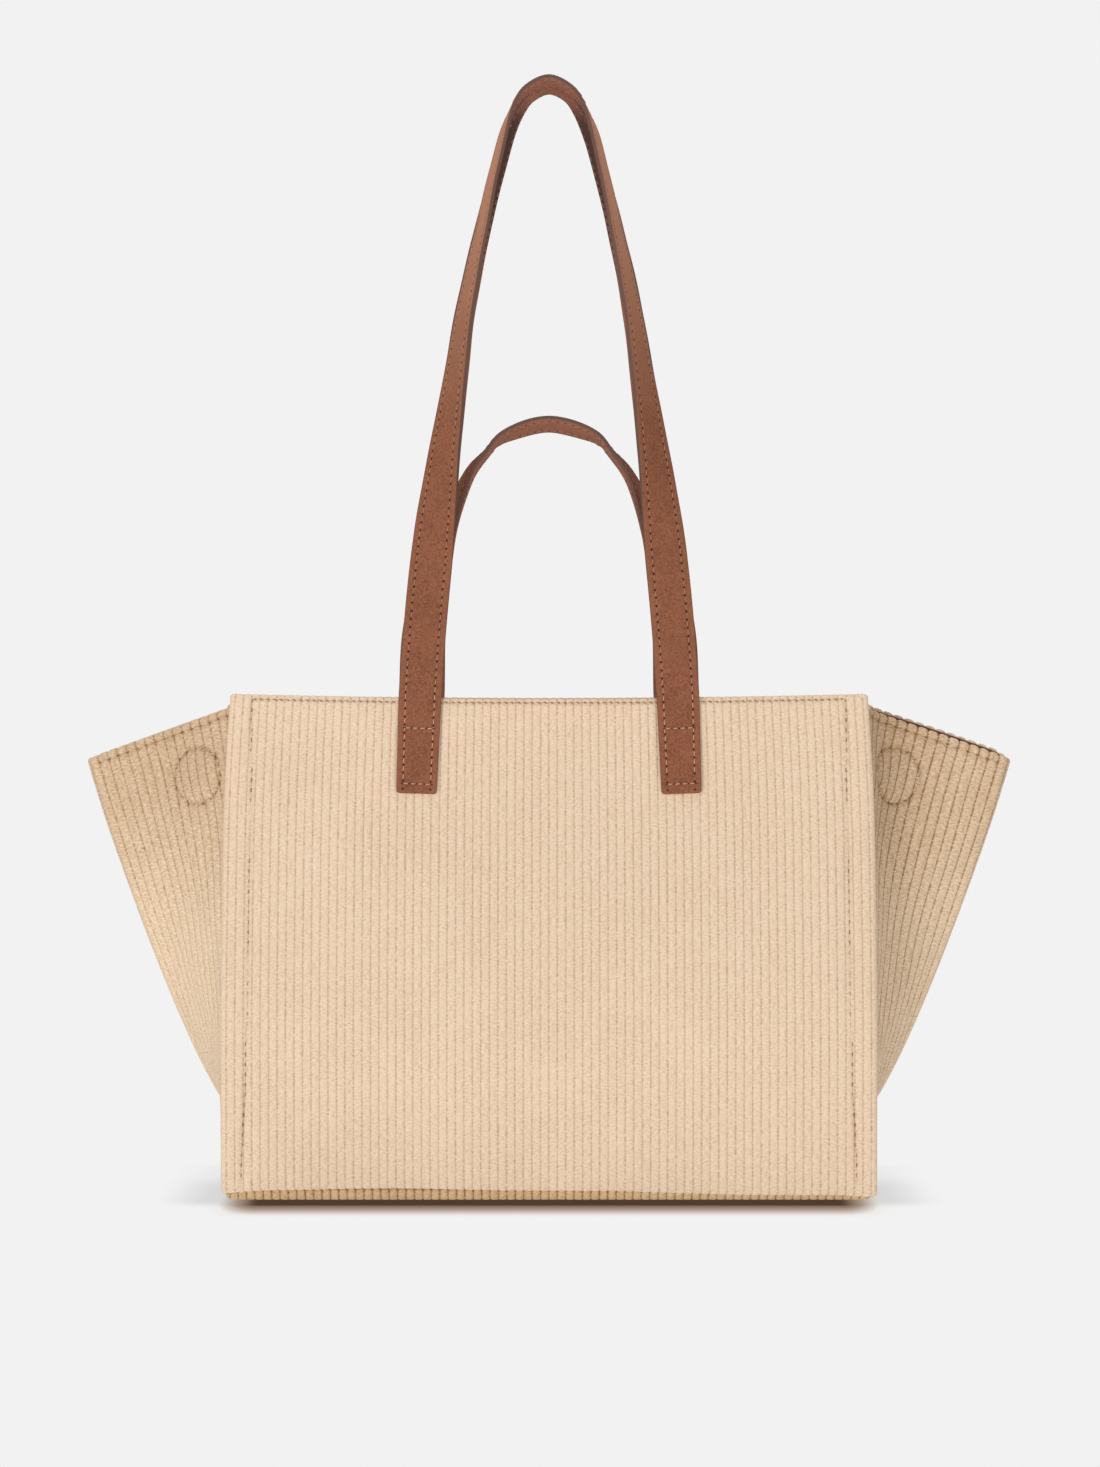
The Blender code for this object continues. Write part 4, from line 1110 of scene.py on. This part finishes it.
studio = {
    "distance": 2.6, "cameraSide": 0.0005, "cameraHeight": 0.300, "pitch": 1.555, "lens": 125.74,
    "sensor": 36.0, "shownGrey": 0.888, "bounce": 0.95, "ambient": 0.38, "floorSize": 14.0,
    # from shadeStart on: the shadow painted on the floor round the bag's foot
    "paper": (242, 242, 242), "shadeStart": 0.018, "shadeReach": 0.070, "contact": (-0.03, -0.012),
    "shadeEnds": (0.143, 0.170), "sideReach": 0.036, "sideShade": 0.30, "sideFade": (-0.02, 0.05, 1.0, 0.35),
    "sideColour": (120, 118, 126), "bouncedShade": 0.3,
    "shades": ((0.18, (237, 236, 232)), (0.41, (206, 194, 186)), (0.64, (171, 148, 133)),
                                    (0.86, (134, 113, 95)), (1.0, (80, 60, 48))),
    "lamps": {"keyLamp": ((-1.7, -2.6, 1.1), 30.0, 1.6, 0.25), "topLamp": ((0.0, 0.5, 2.6), 28.0, 1.4, 0.25),
              "fillLamp": ((0.2, -2.9, 0.15), 34.0, 1.0, 0.4)},
}


def makeFloor():
    # even paper with a painted shadow round the bag's foot: warm and deep before it, grey and faint beside it
    reach = (-studio["floorSize"], studio["floorSize"])
    floor = addObject("studioFloor", meshFromGrid("studioFloor", stacked(*np.meshgrid(reach, reach), 0.0)))
    f = Finish("palePaper", 0.9)
    before = f.less(f.times(f.y, -1.0), bag["baseDepth"] / 2)
    deep = f.put("MapRange", {"Value": before, 1: studio["shadeStart"], 2: studio["shadeReach"],
                              3: 1.0, 4: 0.0})
    deep = f.times(deep, f.band(before, *studio["contact"]))
    deep = f.times(deep, f.band(f.size(f.x), *studio["shadeEnds"], 1.0, 0.0))
    beside = f.sum("MAXIMUM", f.less(f.size(f.x), bag["baseWidth"] / 2), 0.0)
    around = f.sum("MAXIMUM", f.less(f.size(f.y), bag["baseDepth"] / 2), 0.0)
    faint = f.times(f.band(f.length(beside, around), 0.0, studio["sideReach"], 1.0, 0.0), studio["sideShade"])
    faint = f.times(faint, f.band(f.y, *studio["sideFade"]))
    # light that bounces off the floor carries only a little of the painted shadow
    bounced = f.put("LightPath", out="Is Diffuse Ray")
    seen = f.band(bounced, 0.0, 1.0, 1.0, studio["bouncedShade"])
    deep, faint = f.times(deep, seen), f.times(faint, seen)
    warm = f.put("ValToRGB", {0: deep})
    stops = warm.node.color_ramp.elements
    stops[0].color = linear(studio["paper"])
    stops[1].color = linear(studio["shades"][-1][1])
    for share, shade in studio["shades"][:-1]:
        stops.new(share).color = linear(shade)
    colour = f.tint(f.times(faint, f.less(1.0, deep)), warm, studio["sideColour"])
    strength = f.band(bounced, 0.0, 1.0, 1.0, studio["bounce"] / studio["shownGrey"])
    shown = f.put("Emission", {"Color": colour, "Strength": strength})
    f.tree.links.new(shown, f.tree.nodes["Material Output"].inputs["Surface"])
    floor.data.materials.append(f.material)


def makeWorld():
    # soft white light all round, behind the plain grey that the camera sees
    world = bpy.data.worlds.new("studioAir")
    world.use_nodes = True
    bpy.context.scene.world = world
    nodes, links = world.node_tree.nodes, world.node_tree.links
    soft, shown = nodes["Background"], nodes.new("ShaderNodeBackground")
    soft.inputs["Strength"].default_value = studio["ambient"]
    soft.inputs["Color"].default_value = (1.0, 1.0, 1.0, 1.0)
    shown.inputs["Color"].default_value = (studio["shownGrey"],) * 3 + (1.0,)
    mixer = nodes.new("ShaderNodeMixShader")
    seen = nodes.new("ShaderNodeLightPath").outputs["Is Camera Ray"]
    for index, output in enumerate((seen, soft.outputs[0], shown.outputs[0])):
        links.new(output, mixer.inputs[index])
    links.new(mixer.outputs[0], nodes["World Output"].inputs["Surface"])


def addLamp(name, place, power, size, aim):
    # a square lamp turned towards a height over the middle of the bag
    lamp = bpy.data.lights.new(name, "AREA")
    lamp.energy = power
    lamp.size = size
    holder = addObject(name, lamp)
    holder.location = place
    holder.rotation_euler = (Vector((0, 0, aim)) - Vector(place)).to_track_quat("-Z", "Y").to_euler()


makeFloor()
makeWorld()
for lampName, lamp in studio["lamps"].items():
    addLamp(lampName, *lamp)
cameraData = bpy.data.cameras.new("photoCamera")
cameraData.lens = studio["lens"]
cameraData.sensor_width = studio["sensor"]
cameraHolder = addObject("photoCamera", cameraData)
cameraHolder.location = (studio["cameraSide"], -studio["distance"], studio["cameraHeight"])
cameraHolder.rotation_euler = (math.radians(90 - studio["pitch"]), 0, 0)
bpy.context.scene.camera = cameraHolder
bpy.context.scene.view_settings.view_transform = "Standard"
print("studio set")
